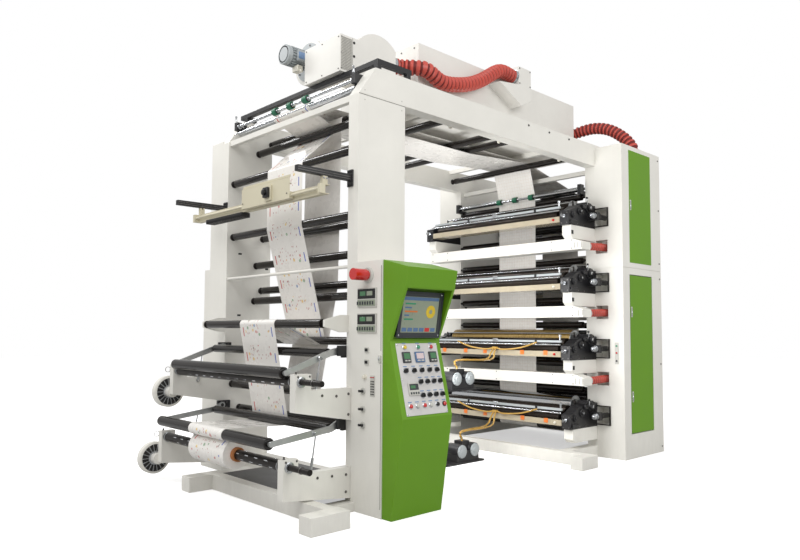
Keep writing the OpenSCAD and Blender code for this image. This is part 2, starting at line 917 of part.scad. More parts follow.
module printed_roll() {
  half = film_w / 2 + 12;
  color("white") difference() {
    bar_y([low_shaft_x, low_shaft_z], roll_r, -half, half);
    bar_y([low_shaft_x, low_shaft_z], shaft_r + seat, -half - 1, half + 1);
  }
}

module winding_clutches() {
  color("white") for (p = [[clutch_x, 167], [clutch_x + 110, 706]]) {
    bar_y(p, 44, arm_face, wall_out + 20);
    bar_y(p, clutch_r, wall_out + 20, wall_out + 72);
  }
}

// the film runs up the winding tower, out under the bridge rollers, down the
// front decks, up the rear decks and back over the bridge to the printed roll
function over(p, turn, r = idler_r) = [p[0], p[1], r, turn];
feed_path = concat(
  [over(start_roller, 1)],
  [for (p = rise_rollers) over(p, 1)],
  [over(corner_roller, -1)],
  [for (k = [0:2]) over([bridge_rollers[k], bridge_z], 1)],
  [over([bridge_rollers[3], bridge_z], -1), over(print_ring_pos, -1, ring_r)]
);
rear_x = 2 * tower_mid - print_idler_x;
deck_run = [
  over([print_idler_x, deck_idler_z[0]], 1),
  over([rear_x, deck_idler_z[0]], 1),
  over([rear_x, return_roller_z], 1)
];
return_path = concat(
  [over([bridge_rollers[3], bridge_z], 1, idler_r + film_gap + film_t)],
  [for (i = [2:-1:0]) over([bridge_rollers[i], bridge_z], 1)],
  [over(winder_nip, 1, nip_r), over(under_nip_roller, -1)],
  [for (p = front_rollers) over(p, 1)],
  [over(inner_roller, -1), over(guide_pos, 1), over(low_back, -1)],
  [over(low_front_roller, 1, layon_r)],
  [over([low_shaft_x, low_shaft_z], -1, roll_r)]
);

module film_web() {
  color("whitesmoke") film(concat(feed_path, deck_run, return_path));
}

// the black bearing plates end here and the white arms go on below them
block_foot = -196;

module deck_arms() {
  color("white") both_faces() both_sides() for (k = [0:3]) {
    z = deck_z + k * deck_pitch;
    plate_y(half_gap + 5, wall_out - 5)
      polygon([
        [print_x - deck_reach + 40, z - duct_drop + 34],
        [print_x - deck_reach + 40, z + block_foot],
        [print_x, z + block_foot],
        [print_x, z - duct_drop],
        [print_x - deck_reach + 80, z - duct_drop]
      ]);
  }
}

plate_journal = 22;
ink_pos = [-plate_x - 158, -50];
pan_pos = [-plate_x - 271, -92];
pan_journal = 18;

module deck_blocks() {
  inner = half_gap + 5;
  color("black") both_faces() for (k = [0:3]) {
    z = deck_z + k * deck_pitch;
    both_sides() difference() {
      plate_y(inner, wall_out - 5) translate([print_x, z]) polygon([
        [-deck_reach, block_foot],
        [-deck_reach, -60],
        [-deck_reach + 70, -36],
        [-deck_reach + 150, 8],
        [-plate_x - 64, 30],
        [-plate_x - 46, 56],
        [-plate_x + 46, 56],
        [-30, 34],
        [0, 34],
        [0, block_foot]
      ]);
      bar_y([print_x - plate_x, z], plate_journal + bore_gap, inner - 1, inner + 60);
    }
    translate([print_x - 150, -spindle_y, z - 88]) rotate([0, 90, 0]) cylinder(r = 26, h = 210);
    block([print_x - 140, -spindle_y - 30, z - 125], [print_x - 85, -wall_out + 5, z - 50]);
  }
}

module plate_cylinder(k) {
  pos = [print_x - plate_x, deck_z + k * deck_pitch];
  bar_y(pos, plate_r, -half_gap + 62, half_gap - 62);
  bar_y(pos, plate_journal, -half_gap - 55, half_gap + 55);
}

module plate_cylinder_1() {
  color("slategray") plate_cylinder(0);
}

module plate_cylinder_2() {
  color("slategray") plate_cylinder(1);
}

module plate_cylinder_3() {
  color("slategray") plate_cylinder(2);
}

module plate_cylinder_4() {
  color("slategray") plate_cylinder(3);
}

module rear_plate_cylinders() {
  color("slategray") translate([2 * tower_mid, 0, 0]) mirror([1, 0, 0])
    for (k = [0:3]) plate_cylinder(k);
}

module ink_rollers() {
  inner = half_gap + 5;
  color("black") both_faces() for (k = [0:3], p = [[ink_pos, ink_r], [pan_pos, pan_r]]) {
    pos = p[0] + [print_x, deck_z + k * deck_pitch];
    bar_y(pos, p[1], -half_gap + 45, half_gap - 45);
    bar_y(pos, pan_journal, -inner, inner);
  }
}

tray_t = 4;

module ink_trays() {
  inner = half_gap + 5 - seat;
  x1 = print_x + pan_pos[0] + pan_r + 14;
  x0 = print_x - deck_reach - 4;
  color("beige") both_faces() for (k = [0:3]) {
    z = deck_z + k * deck_pitch + pan_pos[1];
    difference() {
      block([x0, -inner, z - pan_r - 20], [x1, inner, z - pan_journal - 2]);
      block([x0 + tray_t, -inner + tray_t, z - pan_r - 20 + tray_t], [x1 - tray_t, inner - tray_t, z]);
    }
  }
}

duct_x0 = print_x - deck_reach + 80;
duct_x1 = duct_x0 + 150;

module drying_ducts() {
  color("white") both_faces() for (k = [1:3]) {
    top = deck_z + k * deck_pitch - duct_drop;
    plate_x_dir(duct_x0, duct_x1) polygon([
      [-hose_y - 20, top - 35],
      [-wall_out + 20, top],
      [wall_out + 10, top],
      [wall_out + 10, top - duct_h],
      [-hose_y - 20, top - duct_h]
    ]);
  }
}

module duct_hoses() {
  color("firebrick") both_faces() for (k = [1:3]) {
    z = deck_z + k * deck_pitch - duct_drop - duct_h / 2 - 14;
    tube([
      [duct_x1 + seat, -hose_y + 22, z],
      [duct_x1 + 20, -hose_y + 22, z],
      [duct_x1 + 150, -hose_y + 4, z + 6],
      [print_x + 20, -hose_y, z + 10],
      [print_x + 100, -hose_y, z + 10]
    ], 38, 12);
  }
}

pump_base = 520;
pump_x = print_x - base_reach - 235 - pump_base;
pump_y = -330;
shelf_z = 672;
pump_h = 200;

module pump(x, y, z) {
  block([x + 30, y + 20, z + 16], [x + 330, y + 190, z + 110]);
  for (dx = [90, 270])
    translate([x + dx, y + 18, z + 112]) rotate([-90, 0, 0]) cylinder(r = 66, h = 150);
  block([x + 130, y + 50, z + 100], [x + 230, y + 150, z + pump_h]);
}

module ink_pumps() {
  color("black") {
    block([pump_x, pump_y, 0], [pump_x + pump_base, pump_y + 240, 16]);
    pump(pump_x + 130, pump_y, 0);
    block([pump_x, pump_y + 100, 0], [pump_x + 40, pump_y + 140, shelf_z]);
    block([pump_x, pump_y, shelf_z], [pump_x + 420, pump_y + 240, shelf_z + 16]);
    pump(pump_x + 60, pump_y, shelf_z);
  }
}

module ink_tube_set(k, pump_top) {
  x = print_x - deck_reach - 18;
  z = deck_z + k * deck_pitch - 92;
  y = -60;
  block([x - 14, y - 26, z - 12], [x + 14, y + 26, z + 12]);
  for (dy = [-1, 1]) tube(bend([
    [x, y + 20 * dy, z],
    [x - 8, y + 120 * dy, z - 14],
    [x - 6, y + 330 * dy, z + 8],
    [x + 4, y + 520 * dy, z + 64]
  ], 4), 8, 8);
  for (dy = [-1, 1]) tube(bend([
    [x - 10, y + 14 * dy, z - 8],
    [x - 90, y - 40 + 22 * dy, z - 50],
    [x - 240, y - 100 + 30 * dy, (z + pump_top[2]) / 2 - 20],
    [pump_top[0] + 22 * dy, pump_top[1] + 20 * dy, pump_top[2] + 80],
    [pump_top[0] + 22 * dy, pump_top[1] + 20 * dy, pump_top[2] + 15],
    [pump_top[0] + 22 * dy, pump_top[1] + 20 * dy, pump_top[2]]
  ], 4), 9, 8);
}

module ink_tubes() {
  color("peru") {
    ink_tube_set(0, [pump_x + 130 + 180, pump_y + 100, pump_h + seat]);
    ink_tube_set(1, [pump_x + 60 + 180, pump_y + 100, shelf_z + pump_h + seat]);
  }
}

place() base_frame();
place() floor_plates();
place() winder_side_walls();
place() bridge_beams();
place() bridge_ties();
place() print_side_walls();
place() drive_cabinet();
place() far_covers();
place() upper_door();
place() lower_door();
place() console_case();
place() console_front();
place() console_screen();
place() control_panel();
place() signal_beacon();
place() tension_controllers();
place() dryer_housing();
place() blower_housing();
place() blower_motor();
place() long_air_hose();
place() short_air_hose();
place() top_rail();
place() nip_rollers();
place() nip_rings();
place() nip_blocks();
place() frame_idlers();
place() print_idlers();
place() guide_brackets();
place() camera_arms();
place() camera_rail();
place() camera_carriage();
place() winding_arms();
place() pivot_brackets();
place() upper_layon_frame();
place() lower_layon_frame();
place() upper_strut_tubes();
place() upper_strut_rods();
place() lower_struts();
place() upper_winding_shaft();
place() lower_winding_shaft();
place() printed_roll();
place() winding_clutches();
place() film_web();
place() deck_arms();
place() deck_blocks();
place() plate_cylinder_1();
place() plate_cylinder_2();
place() plate_cylinder_3();
place() plate_cylinder_4();
place() rear_plate_cylinders();
place() ink_rollers();
place() ink_trays();
place() drying_ducts();
place() duct_hoses();
place() ink_pumps();
place() ink_tubes();
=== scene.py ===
"""Flexographic printing press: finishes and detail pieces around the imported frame."""

import math

import bpy
from mathutils import Matrix, Vector


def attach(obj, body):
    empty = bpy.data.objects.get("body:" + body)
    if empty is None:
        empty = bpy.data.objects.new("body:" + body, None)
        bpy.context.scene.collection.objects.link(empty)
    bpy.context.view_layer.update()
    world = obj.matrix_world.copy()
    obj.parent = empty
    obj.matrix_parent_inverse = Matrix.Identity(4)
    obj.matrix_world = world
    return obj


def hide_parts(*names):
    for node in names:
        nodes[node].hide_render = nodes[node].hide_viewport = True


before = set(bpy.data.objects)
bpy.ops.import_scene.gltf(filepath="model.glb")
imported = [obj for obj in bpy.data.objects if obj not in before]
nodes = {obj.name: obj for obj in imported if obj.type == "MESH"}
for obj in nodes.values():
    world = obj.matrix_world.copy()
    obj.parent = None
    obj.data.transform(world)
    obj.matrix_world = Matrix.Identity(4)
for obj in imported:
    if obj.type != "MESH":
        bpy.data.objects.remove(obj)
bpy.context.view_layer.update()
bpy.ops.object.select_all(action="DESELECT")

# Line coordinates in millimetres: X along the line from the winding tower to the printing
# tower, Y from the operator to the gears, Z up. The frame's origin lies at this middle.
MIDDLE_X = 2568.5
MIDDLE_Y = -107.5
FILM_MIDDLE = -MIDDLE_Y / 1000
TOWER_MID = 4082.5
# Winding shafts: place along the line and height.
UPPER_SHAFT = (160, 887)
LOWER_SHAFT = (76, 351)
# The clear width between the side walls, halved, and their thickness with it.
HALF_GAP = 845
ARM_FACE = -907
BEAM_FACE = -955
DRYER_FACE = -531
# Printing decks: heights of the plate rollers' axes, and the rollers of one deck along the line.
DECKS = [497.0 + k * 653.0 for k in range(4)]
PLATE_X = 3566
INK_X = 3408
PAN_X = 3295
DECK_FRONT = 3220
DECK_FACE = -950
PRINT_IDLER_X = 3746
MOTOR_Y = 99
MOTOR_Z = 3502
FRAME_BODY = "press_frame"

TO_TOWER = (1, 0, 0)
TO_WINDER = (-1, 0, 0)
TO_OPERATOR = (0, -1, 0)
TO_GEARS = (0, 1, 0)
UP = (0, 0, 1)
DOWN = (0, 0, -1)


def at(x, y, z):
    """A point given in line coordinates, in millimetres, as a place in the frame, in metres."""
    return Vector(((x - MIDDLE_X) / 1000, (y - MIDDLE_Y) / 1000, z / 1000))


# ---------------------------------------------------------------- finishes


def from_srgb(red, green, blue):
    """A colour read off a paint card, as Blender's linear colour."""
    out = []
    for value in (red, green, blue):
        share = value / 255
        out.append(share / 12.92 if share <= 0.04045 else ((share + 0.055) / 1.055) ** 2.4)
    return (*out, 1.0)


def new_group(name, inputs, outputs):
    """An empty shader group with its sockets, and its two end nodes."""
    tree = bpy.data.node_groups.new(name, "ShaderNodeTree")
    for label, kind, value in inputs:
        socket = tree.interface.new_socket(name=label, in_out="INPUT", socket_type=kind)
        socket.default_value = value
    for label, kind in outputs:
        tree.interface.new_socket(name=label, in_out="OUTPUT", socket_type=kind)
    return tree, tree.nodes.new("NodeGroupInput"), tree.nodes.new("NodeGroupOutput")


def noise(tree, vector, scale, detail=3.0, roughness=0.5):
    node = tree.nodes.new("ShaderNodeTexNoise")
    if isinstance(scale, (int, float)):
        node.inputs["Scale"].default_value = scale
    else:
        tree.links.new(scale, node.inputs["Scale"])
    node.inputs["Detail"].default_value = detail
    node.inputs["Roughness"].default_value = roughness
    tree.links.new(vector, node.inputs["Vector"])
    return node.outputs["Fac"]


def reach(tree, value, low, high, to_low=0.0, to_high=1.0):
    """A value spread from one range to another."""
    node = tree.nodes.new("ShaderNodeMapRange")
    tree.links.new(value, node.inputs["Value"])
    for label, number in (("From Min", low), ("From Max", high), ("To Min", to_low), ("To Max", to_high)):
        node.inputs[label].default_value = number
    return node.outputs["Result"]


def maths(tree, kind, first, second):
    node = tree.nodes.new("ShaderNodeMath")
    node.operation = kind
    for socket, value in zip(node.inputs, (first, second)):
        if isinstance(value, (int, float)):
            socket.default_value = value
        else:
            tree.links.new(value, socket)
    return node.outputs[0]


def axes(tree):
    """Object coordinates, one by one."""
    place = tree.nodes.new("ShaderNodeTexCoord")
    split = tree.nodes.new("ShaderNodeSeparateXYZ")
    tree.links.new(place.outputs["Object"], split.inputs[0])
    return split.outputs


def stretched(tree, scale):
    """Object coordinates stretched along the axes."""
    place = tree.nodes.new("ShaderNodeTexCoord")
    mapping = tree.nodes.new("ShaderNodeMapping")
    mapping.inputs["Scale"].default_value = scale
    tree.links.new(place.outputs["Object"], mapping.inputs["Vector"])
    return mapping.outputs["Vector"]


def make_mottle():
    """Slow changes of shade and the fine orange peel of sprayed paint."""
    tree, start, end = new_group(
        "Sprayed paint",
        [("Patch size", "NodeSocketFloat", 2.0), ("Peel size", "NodeSocketFloat", 260.0)],
        [("Shade", "NodeSocketFloat"), ("Gloss", "NodeSocketFloat"), ("Height", "NodeSocketFloat")],
    )
    place = stretched(tree, (1, 1, 1))
    patches = noise(tree, place, start.outputs["Patch size"], 4.0, 0.6)
    peel = noise(tree, place, start.outputs["Peel size"], 1.0)
    tree.links.new(reach(tree, patches, 0.25, 0.75), end.inputs["Shade"])
    tree.links.new(reach(tree, patches, 0.3, 0.7, -0.04, 0.06), end.inputs["Gloss"])
    tree.links.new(peel, end.inputs["Height"])
    return tree


def make_dust():
    """Dust and scuffs that get thicker towards the floor and run down in faint streaks."""
    tree, start, end = new_group(
        "Floor dust",
        [("Top", "NodeSocketFloat", 0.5), ("Amount", "NodeSocketFloat", 0.5)],
        [("Mask", "NodeSocketFloat")],
    )
    low = maths(tree, "DIVIDE", axes(tree)["Z"], start.outputs["Top"])
    low = reach(tree, low, 0.0, 1.0, 1.0, 0.0)
    patch = reach(tree, noise(tree, stretched(tree, (6, 6, 1.5)), 2.0, 5.0, 0.7), 0.35, 0.75)
    streak = reach(tree, noise(tree, stretched(tree, (9, 9, 0.35)), 3.0, 3.0, 0.6), 0.55, 0.8)
    both = maths(tree, "ADD", maths(tree, "MULTIPLY", low, patch), maths(tree, "MULTIPLY", streak, 0.16))
    tree.links.new(maths(tree, "MULTIPLY", both, start.outputs["Amount"]), end.inputs["Mask"])
    return tree


def make_turned():
    """Fine rings left round a roller by the lathe, across Y."""
    tree, start, end = new_group(
        "Turned rings",
        [("Density", "NodeSocketFloat", 220.0)],
        [("Shade", "NodeSocketFloat"), ("Height", "NodeSocketFloat")],
    )
    rings = noise(tree, stretched(tree, (0.04, 1.0, 0.04)), start.outputs["Density"], 4.0, 0.7)
    patches = noise(tree, stretched(tree, (4, 1, 4)), 3.0, 3.0)
    worn = maths(tree, "MULTIPLY", rings, reach(tree, patches, 0.3, 0.7, 0.6, 1.0))
    tree.links.new(worn, end.inputs["Shade"])
    tree.links.new(rings, end.inputs["Height"])
    return tree


MOTTLE = make_mottle()
DUST = make_dust()
TURNED = make_turned()


def new_finish(name):
    made = bpy.data.materials.new(name)
    made.use_nodes = True
    tree = made.node_tree
    return made, tree, tree.nodes["Principled BSDF"]


def placed(tree, group, **values):
    node = tree.nodes.new("ShaderNodeGroup")
    node.node_tree = group
    for label, number in values.items():
        node.inputs[label.replace("_", " ")].default_value = number
    return node


def blended(tree, share, first, second, kind="MIX"):
    """Two colours mixed by a share."""
    node = tree.nodes.new("ShaderNodeMix")
    node.data_type = "RGBA"
    node.blend_type = kind
    for socket, value in ((node.inputs[0], share), (node.inputs[6], first), (node.inputs[7], second)):
        if isinstance(value, (int, float, tuple)):
            socket.default_value = value
        else:
            tree.links.new(value, socket)
    return node.outputs[2]


def bumped(tree, shader, height, strength, distance=0.001):
    node = tree.nodes.new("ShaderNodeBump")
    node.inputs["Strength"].default_value = strength
    node.inputs["Distance"].default_value = distance
    tree.links.new(height, node.inputs["Height"])
    tree.links.new(node.outputs["Normal"], shader.inputs["Normal"])


def darker(colour, share):
    return (*(c * share for c in colour[:3]), 1.0)


def paint(name, colour, gloss=0.32, dust=0.35, top=0.7, coat=0.0, shade=0.9):
    """Sprayed machine paint with slow mottling, orange peel and dust near the floor."""
    made, tree, shader = new_finish(name)
    mottle = placed(tree, MOTTLE, Patch_size=1.7)
    grime = placed(tree, DUST, Top=top, Amount=dust)
    base = blended(tree, mottle.outputs["Shade"], darker(colour, shade), colour)
    base = blended(tree, grime.outputs["Mask"], base, from_srgb(120, 112, 100))
    tree.links.new(base, shader.inputs["Base Color"])
    rough = maths(tree, "ADD", mottle.outputs["Gloss"], gloss)
    rough = maths(tree, "ADD", rough, maths(tree, "MULTIPLY", grime.outputs["Mask"], 0.4))
    tree.links.new(rough, shader.inputs["Roughness"])
    shader.inputs["Coat Weight"].default_value = coat
    bumped(tree, shader, mottle.outputs["Height"], 0.08)
    return made


def metal(name, colour, gloss, density=220.0, contrast=0.75, metallic=1.0, strength=0.1):
    """Turned or ground metal with fine rings across the rollers' axis."""
    made, tree, shader = new_finish(name)
    rings = placed(tree, TURNED, Density=density)
    base = blended(tree, rings.outputs["Shade"], darker(colour, contrast), colour)
    tree.links.new(base, shader.inputs["Base Color"])
    rough = reach(tree, rings.outputs["Shade"], 0.2, 0.7, gloss * 0.8, gloss * 1.4)
    tree.links.new(rough, shader.inputs["Roughness"])
    shader.inputs["Metallic"].default_value = metallic
    bumped(tree, shader, rings.outputs["Height"], strength, 0.0003)
    return made


def moulded(name, colour, gloss=0.4, grain=420.0, strength=0.12, coat=0.0, clear=0.0):
    """Moulded plastic or rubber with a fine grain and slow changes of shade."""
    made, tree, shader = new_finish(name)
    mottle = placed(tree, MOTTLE, Patch_size=7.0, Peel_size=grain)
    base = blended(tree, mottle.outputs["Shade"], darker(colour, 0.84), colour)
    tree.links.new(base, shader.inputs["Base Color"])
    tree.links.new(maths(tree, "ADD", mottle.outputs["Gloss"], gloss), shader.inputs["Roughness"])
    shader.inputs["Coat Weight"].default_value = coat
    if clear:
        shader.inputs["Transmission Weight"].default_value = clear
    bumped(tree, shader, mottle.outputs["Height"], strength, 0.0006)
    return made


def scattered(tree, across, along, wide, high, loose=1.0):
    """Cells scattered over a sheet, with their distances and colours."""
    node = tree.nodes.new("ShaderNodeTexVoronoi")
    node.inputs["Scale"].default_value = 1.0
    node.inputs["Randomness"].default_value = loose
    lay = tree.nodes.new("ShaderNodeCombineXYZ")
    tree.links.new(maths(tree, "MULTIPLY", across, wide), lay.inputs[0])
    tree.links.new(maths(tree, "MULTIPLY", along, high), lay.inputs[1])
    tree.links.new(lay.outputs[0], node.inputs["Vector"])
    return node.outputs


def banded(tree, value, stops):
    """A colour picked from bands by a value between 0 and 1."""
    node = tree.nodes.new("ShaderNodeValToRGB")
    node.color_ramp.interpolation = "CONSTANT"
    bar = node.color_ramp.elements
    for stop, (position, colour) in zip(bar, stops):
        stop.position, stop.color = position, colour
    for position, colour in stops[2:]:
        bar.new(position).color = colour
    tree.links.new(value, node.inputs[0])
    return node.outputs[0]


INKS = [(0.0, from_srgb(236, 190, 60)), (0.34, from_srgb(206, 72, 58)), (0.52, from_srgb(240, 205, 90)),
        (0.68, from_srgb(86, 150, 92)), (0.8, from_srgb(80, 128, 186)), (0.92, from_srgb(120, 84, 60))]
PRINT_COLUMN = 0.066
PRINT_ROW = 0.098
PRINT_REPEAT = 0.196
ROLL_RADIUS = 0.107


def film_print(name, angle_at=None):
    """White film with coloured groups printed on it, by Y across and by height or angle along."""
    made, tree, shader = new_finish(name)
    x, y, z = axes(tree)

    def calc(kind, first, second=0.0):
        return maths(tree, kind, first, second)

    line_x = calc("ADD", x, MIDDLE_X / 1000)
    if angle_at:
        turn = calc("ARCTAN2", calc("SUBTRACT", z, angle_at[2]), calc("SUBTRACT", x, angle_at[0]))
        along = calc("MULTIPLY", turn, ROLL_RADIUS)
        mask = 1.0
    else:
        # only the run in front of a leaning line, from the last decks to the roll, is printed
        along = z
        lean = calc("ADD", calc("MULTIPLY", z, 0.18), 0.755 - 0.18 * 0.543)
        mask = calc("LESS_THAN", line_x, calc("MINIMUM", lean, 0.955))
    across = calc("DIVIDE", calc("SUBTRACT", y, FILM_MIDDLE), PRINT_COLUMN)
    off_middle = calc("ABSOLUTE", across)
    row = calc("DIVIDE", along, PRINT_ROW)
    repeat = calc("FRACT", calc("DIVIDE", along, PRINT_REPEAT))
    # blobs and small spots come in groups with a bare gap between one group and the next
    shown = calc("MULTIPLY", calc("LESS_THAN", repeat, 0.66), calc("LESS_THAN", off_middle, 2.6))
    shown = calc("MULTIPLY", shown, mask)
    blobs = scattered(tree, across, row, 1.25, 1.9, 0.75)
    blob = calc("LESS_THAN", blobs["Distance"], 0.25)
    pick = tree.nodes.new("ShaderNodeSeparateColor")
    tree.links.new(blobs["Color"], pick.inputs[0])
    share = calc("MULTIPLY", calc("MULTIPLY", blob, shown), 0.72)
    colour = blended(tree, share, from_srgb(244, 241, 236), banded(tree, pick.outputs[0], INKS))
    spots = scattered(tree, across, row, 4.0, 3.0)
    small = calc("LESS_THAN", spots["Distance"], 0.26)
    small = calc("MULTIPLY", small, calc("GREATER_THAN", spots["Color"], 0.52))
    dots = blended(tree, spots["Color"], from_srgb(60, 70, 84), from_srgb(196, 60, 50))
    colour = blended(tree, calc("MULTIPLY", calc("MULTIPLY", small, shown), 0.8), colour, dots)
    # register marks, red along one edge and blue along the other
    edge = calc("MULTIPLY", calc("GREATER_THAN", off_middle, 2.95), calc("LESS_THAN", off_middle, 3.12))
    marks = calc("MULTIPLY", calc("MULTIPLY", edge, calc("LESS_THAN", repeat, 0.36)), mask)
    side = blended(tree, calc("GREATER_THAN", across, 0.0), from_srgb(60, 90, 190), from_srgb(200, 50, 46))
    colour = blended(tree, marks, colour, side)
    if not angle_at:
        # faint lines of the first ink on the film between the decks
        line = calc("LESS_THAN", calc("FRACT", calc("MULTIPLY", across, 2.0)), 0.12)
        cross = calc("LESS_THAN", calc("FRACT", calc("MULTIPLY", row, 3.0)), 0.12)
        grid = calc("MULTIPLY", calc("MAXIMUM", line, cross), calc("GREATER_THAN", line_x, 3.5))
        colour = blended(tree, calc("MULTIPLY", grid, 0.22), colour, from_srgb(206, 178, 150))
    wave = noise(tree, stretched(tree, (3, 3, 3)), 4.0, 3.0)
    grey = blended(tree, reach(tree, wave, 0.3, 0.8, 0.0, 0.05), colour, (0.3, 0.3, 0.3, 1.0))
    tree.links.new(grey, shader.inputs["Base Color"])
    tree.links.new(reach(tree, wave, 0.3, 0.7, 0.22, 0.36), shader.inputs["Roughness"])
    shader.inputs["Coat Weight"].default_value = 0.3
    bumped(tree, shader, wave, 0.15, 0.002)
    return made


def drilled(name, colour, pitch, share):
    """Sheet with a close pattern of round holes, seen as dark dots of painted shade."""
    made, tree, shader = new_finish(name)
    parts = []
    for axis in axes(tree):
        cell = maths(tree, "SUBTRACT", maths(tree, "FRACT", maths(tree, "DIVIDE", axis, pitch), 0.0), 0.5)
        parts.append(maths(tree, "MULTIPLY", cell, cell))
    flat = maths(tree, "MINIMUM", parts[2], parts[0])
    shaded_hole = maths(tree, "LESS_THAN", maths(tree, "ADD", flat, parts[1]), share)
    mottle = placed(tree, MOTTLE, Patch_size=3.0)
    base = blended(tree, mottle.outputs["Shade"], darker(colour, 0.85), colour)
    # the holes are painted dark: painted shade standing in for the dark space behind each hole
    tree.links.new(blended(tree, shaded_hole, base, darker(colour, 0.3)), shader.inputs["Base Color"])
    tree.links.new(maths(tree, "ADD", mottle.outputs["Gloss"], 0.42), shader.inputs["Roughness"])
    bumped(tree, shader, maths(tree, "SUBTRACT", 1.0, shaded_hole), 0.4, 0.001)
    return made


def layon_finish():
    """Aluminium side links with black rollers between them."""
    made, tree, shader = new_finish("Lay-on links and rollers")
    off_middle = maths(tree, "ABSOLUTE", maths(tree, "SUBTRACT", axes(tree)["Y"], FILM_MIDDLE), 0.0)
    link = maths(tree, "GREATER_THAN", off_middle, 0.79)
    rings = placed(tree, TURNED, Density=200.0)
    black = blended(tree, rings.outputs["Shade"], from_srgb(18, 17, 17), from_srgb(38, 33, 30))
    bright = blended(tree, rings.outputs["Shade"], from_srgb(176, 178, 178), from_srgb(212, 214, 214))
    tree.links.new(blended(tree, link, black, bright), shader.inputs["Base Color"])
    tree.links.new(reach(tree, link, 0.0, 1.0, 0.16, 0.36), shader.inputs["Roughness"])
    tree.links.new(reach(tree, link, 0.0, 1.0, 0.0, 0.85), shader.inputs["Metallic"])
    bumped(tree, shader, rings.outputs["Height"], 0.03, 0.0003)
    return made


WHITE_PAINT = paint("White machine paint", from_srgb(238, 236, 229), dust=0.12, top=0.5)
TOP_WHITE = paint("White oven paint", from_srgb(236, 234, 228), gloss=0.38, dust=0.04, top=6.0)
CREAM_PART = paint("Cream enamel", from_srgb(232, 228, 214), gloss=0.28, dust=0.05)
GREEN_PAINT = paint("Leaf green paint", from_srgb(104, 156, 8), gloss=0.5, dust=0.04, top=0.4)
BLACK_PAINT = paint("Black frame paint", from_srgb(30, 30, 33), gloss=0.36, dust=0.1)
GREY_PAINT = paint("Grey motor paint", from_srgb(172, 178, 180), gloss=0.36, dust=0.05)
BEIGE_PAINT = paint("Beige instrument paint", from_srgb(214, 207, 182), gloss=0.4, dust=0.08)
BLACK_ROLLER = metal("Black anodised roller", from_srgb(34, 29, 26), 0.13, contrast=0.5, metallic=0.0,
                     strength=0.03)
CHROME = metal("Ground chrome", from_srgb(214, 217, 221), 0.1, density=120.0, contrast=0.9, strength=0.04)
ALUMINIUM = metal("Milled aluminium", from_srgb(196, 199, 202), 0.3, density=160.0, contrast=0.86)
STEEL = metal("Ground shaft steel", from_srgb(128, 126, 124), 0.3, density=180.0, contrast=0.6)
DARK_STEEL = metal("Blackened shaft steel", from_srgb(52, 48, 46), 0.3, contrast=0.6, metallic=0.7)
GREEN_RUBBER = moulded("Green ring rubber", from_srgb(36, 112, 82), 0.5)
BLACK_RUBBER = moulded("Black ink roller rubber", from_srgb(24, 23, 24), 0.32, grain=300.0)
PLATE_POLYMER = moulded("Printing plate polymer", from_srgb(70, 74, 80), 0.3)
CLEAR_TRAY = moulded("Clear tray plastic", from_srgb(226, 214, 188), 0.16, coat=0.5, clear=0.45)
AMBER_TUBE = moulded("Amber ink tube", from_srgb(190, 150, 70), 0.2, coat=0.4)
RED_HOSE = moulded("Red hot air hose", from_srgb(206, 84, 72), 0.34, grain=160.0, strength=0.3)
# painted shade: a darker red for the falling flanks and valleys between the hose's ribs
HOSE_VALLEY_SHADE = moulded("Painted shade in the hose's valleys", from_srgb(116, 30, 26), 0.5, grain=160.0)
RED_LENS = moulded("Red lens", from_srgb(206, 22, 22), 0.14, coat=0.8)
YELLOW_LENS = moulded("Yellow lens", from_srgb(228, 196, 40), 0.2, coat=0.6)
GREEN_LENS = moulded("Green lens", from_srgb(40, 150, 110), 0.2, coat=0.6)
DARK_PLASTIC = moulded("Dark screen surround", from_srgb(54, 58, 62), 0.42)
BLACK_KNOB = moulded("Black knob plastic", from_srgb(22, 22, 24), 0.36)
GREY_PLASTIC = moulded("Pale instrument plastic", from_srgb(206, 205, 198), 0.42)
SCREEN_PALE = moulded("Pale screen picture", from_srgb(150, 160, 140), 0.3, coat=0.3)
SCREEN_BLUE = moulded("Blue screen bar", from_srgb(84, 116, 158), 0.2, coat=0.6)
PINK_PAPER = moulded("Pale counter window", from_srgb(226, 206, 208), 0.25, coat=0.5)
GREEN_DIGITS = moulded("Green counter window", from_srgb(70, 128, 84), 0.2, coat=0.6)
LABEL_BLUE = moulded("Pale blue label", from_srgb(120, 150, 190), 0.4)
ORANGE_TAG = moulded("Orange tag", from_srgb(226, 120, 48), 0.4)
SEAM = moulded("Panel seam", from_srgb(120, 118, 112), 0.6)
PANEL_PLATE = moulded("Pale control plate", from_srgb(216, 214, 212), 0.36)
ANILOX = metal("Screened ink roller", from_srgb(60, 52, 46), 0.22, density=900.0, contrast=0.45, metallic=0.6)
BRASS_ROLL = metal("Inked yellow plate roller", from_srgb(168, 140, 84), 0.28, density=300.0, contrast=0.6,
                   metallic=0.6)
CARDBOARD = moulded("Cardboard core", from_srgb(176, 112, 62), 0.7, grain=120.0)
INK_BROWN = moulded("Dark red ink", from_srgb(74, 26, 18), 0.1, coat=0.8)
INK_YELLOW = moulded("Yellow ink", from_srgb(226, 168, 44), 0.1, coat=0.8)
OVEN_MESH = drilled("Drilled heater sheet", from_srgb(226, 223, 214), 0.012, 0.06)
FLOOR_GRID = drilled("Drilled floor plate", from_srgb(62, 62, 64), 0.03, 0.07)
FILM_WEB = film_print("Printed film")
ROLL_FILM = film_print("Printed film on the roll", at(LOWER_SHAFT[0], 0, LOWER_SHAFT[1]))
LAYON = layon_finish()

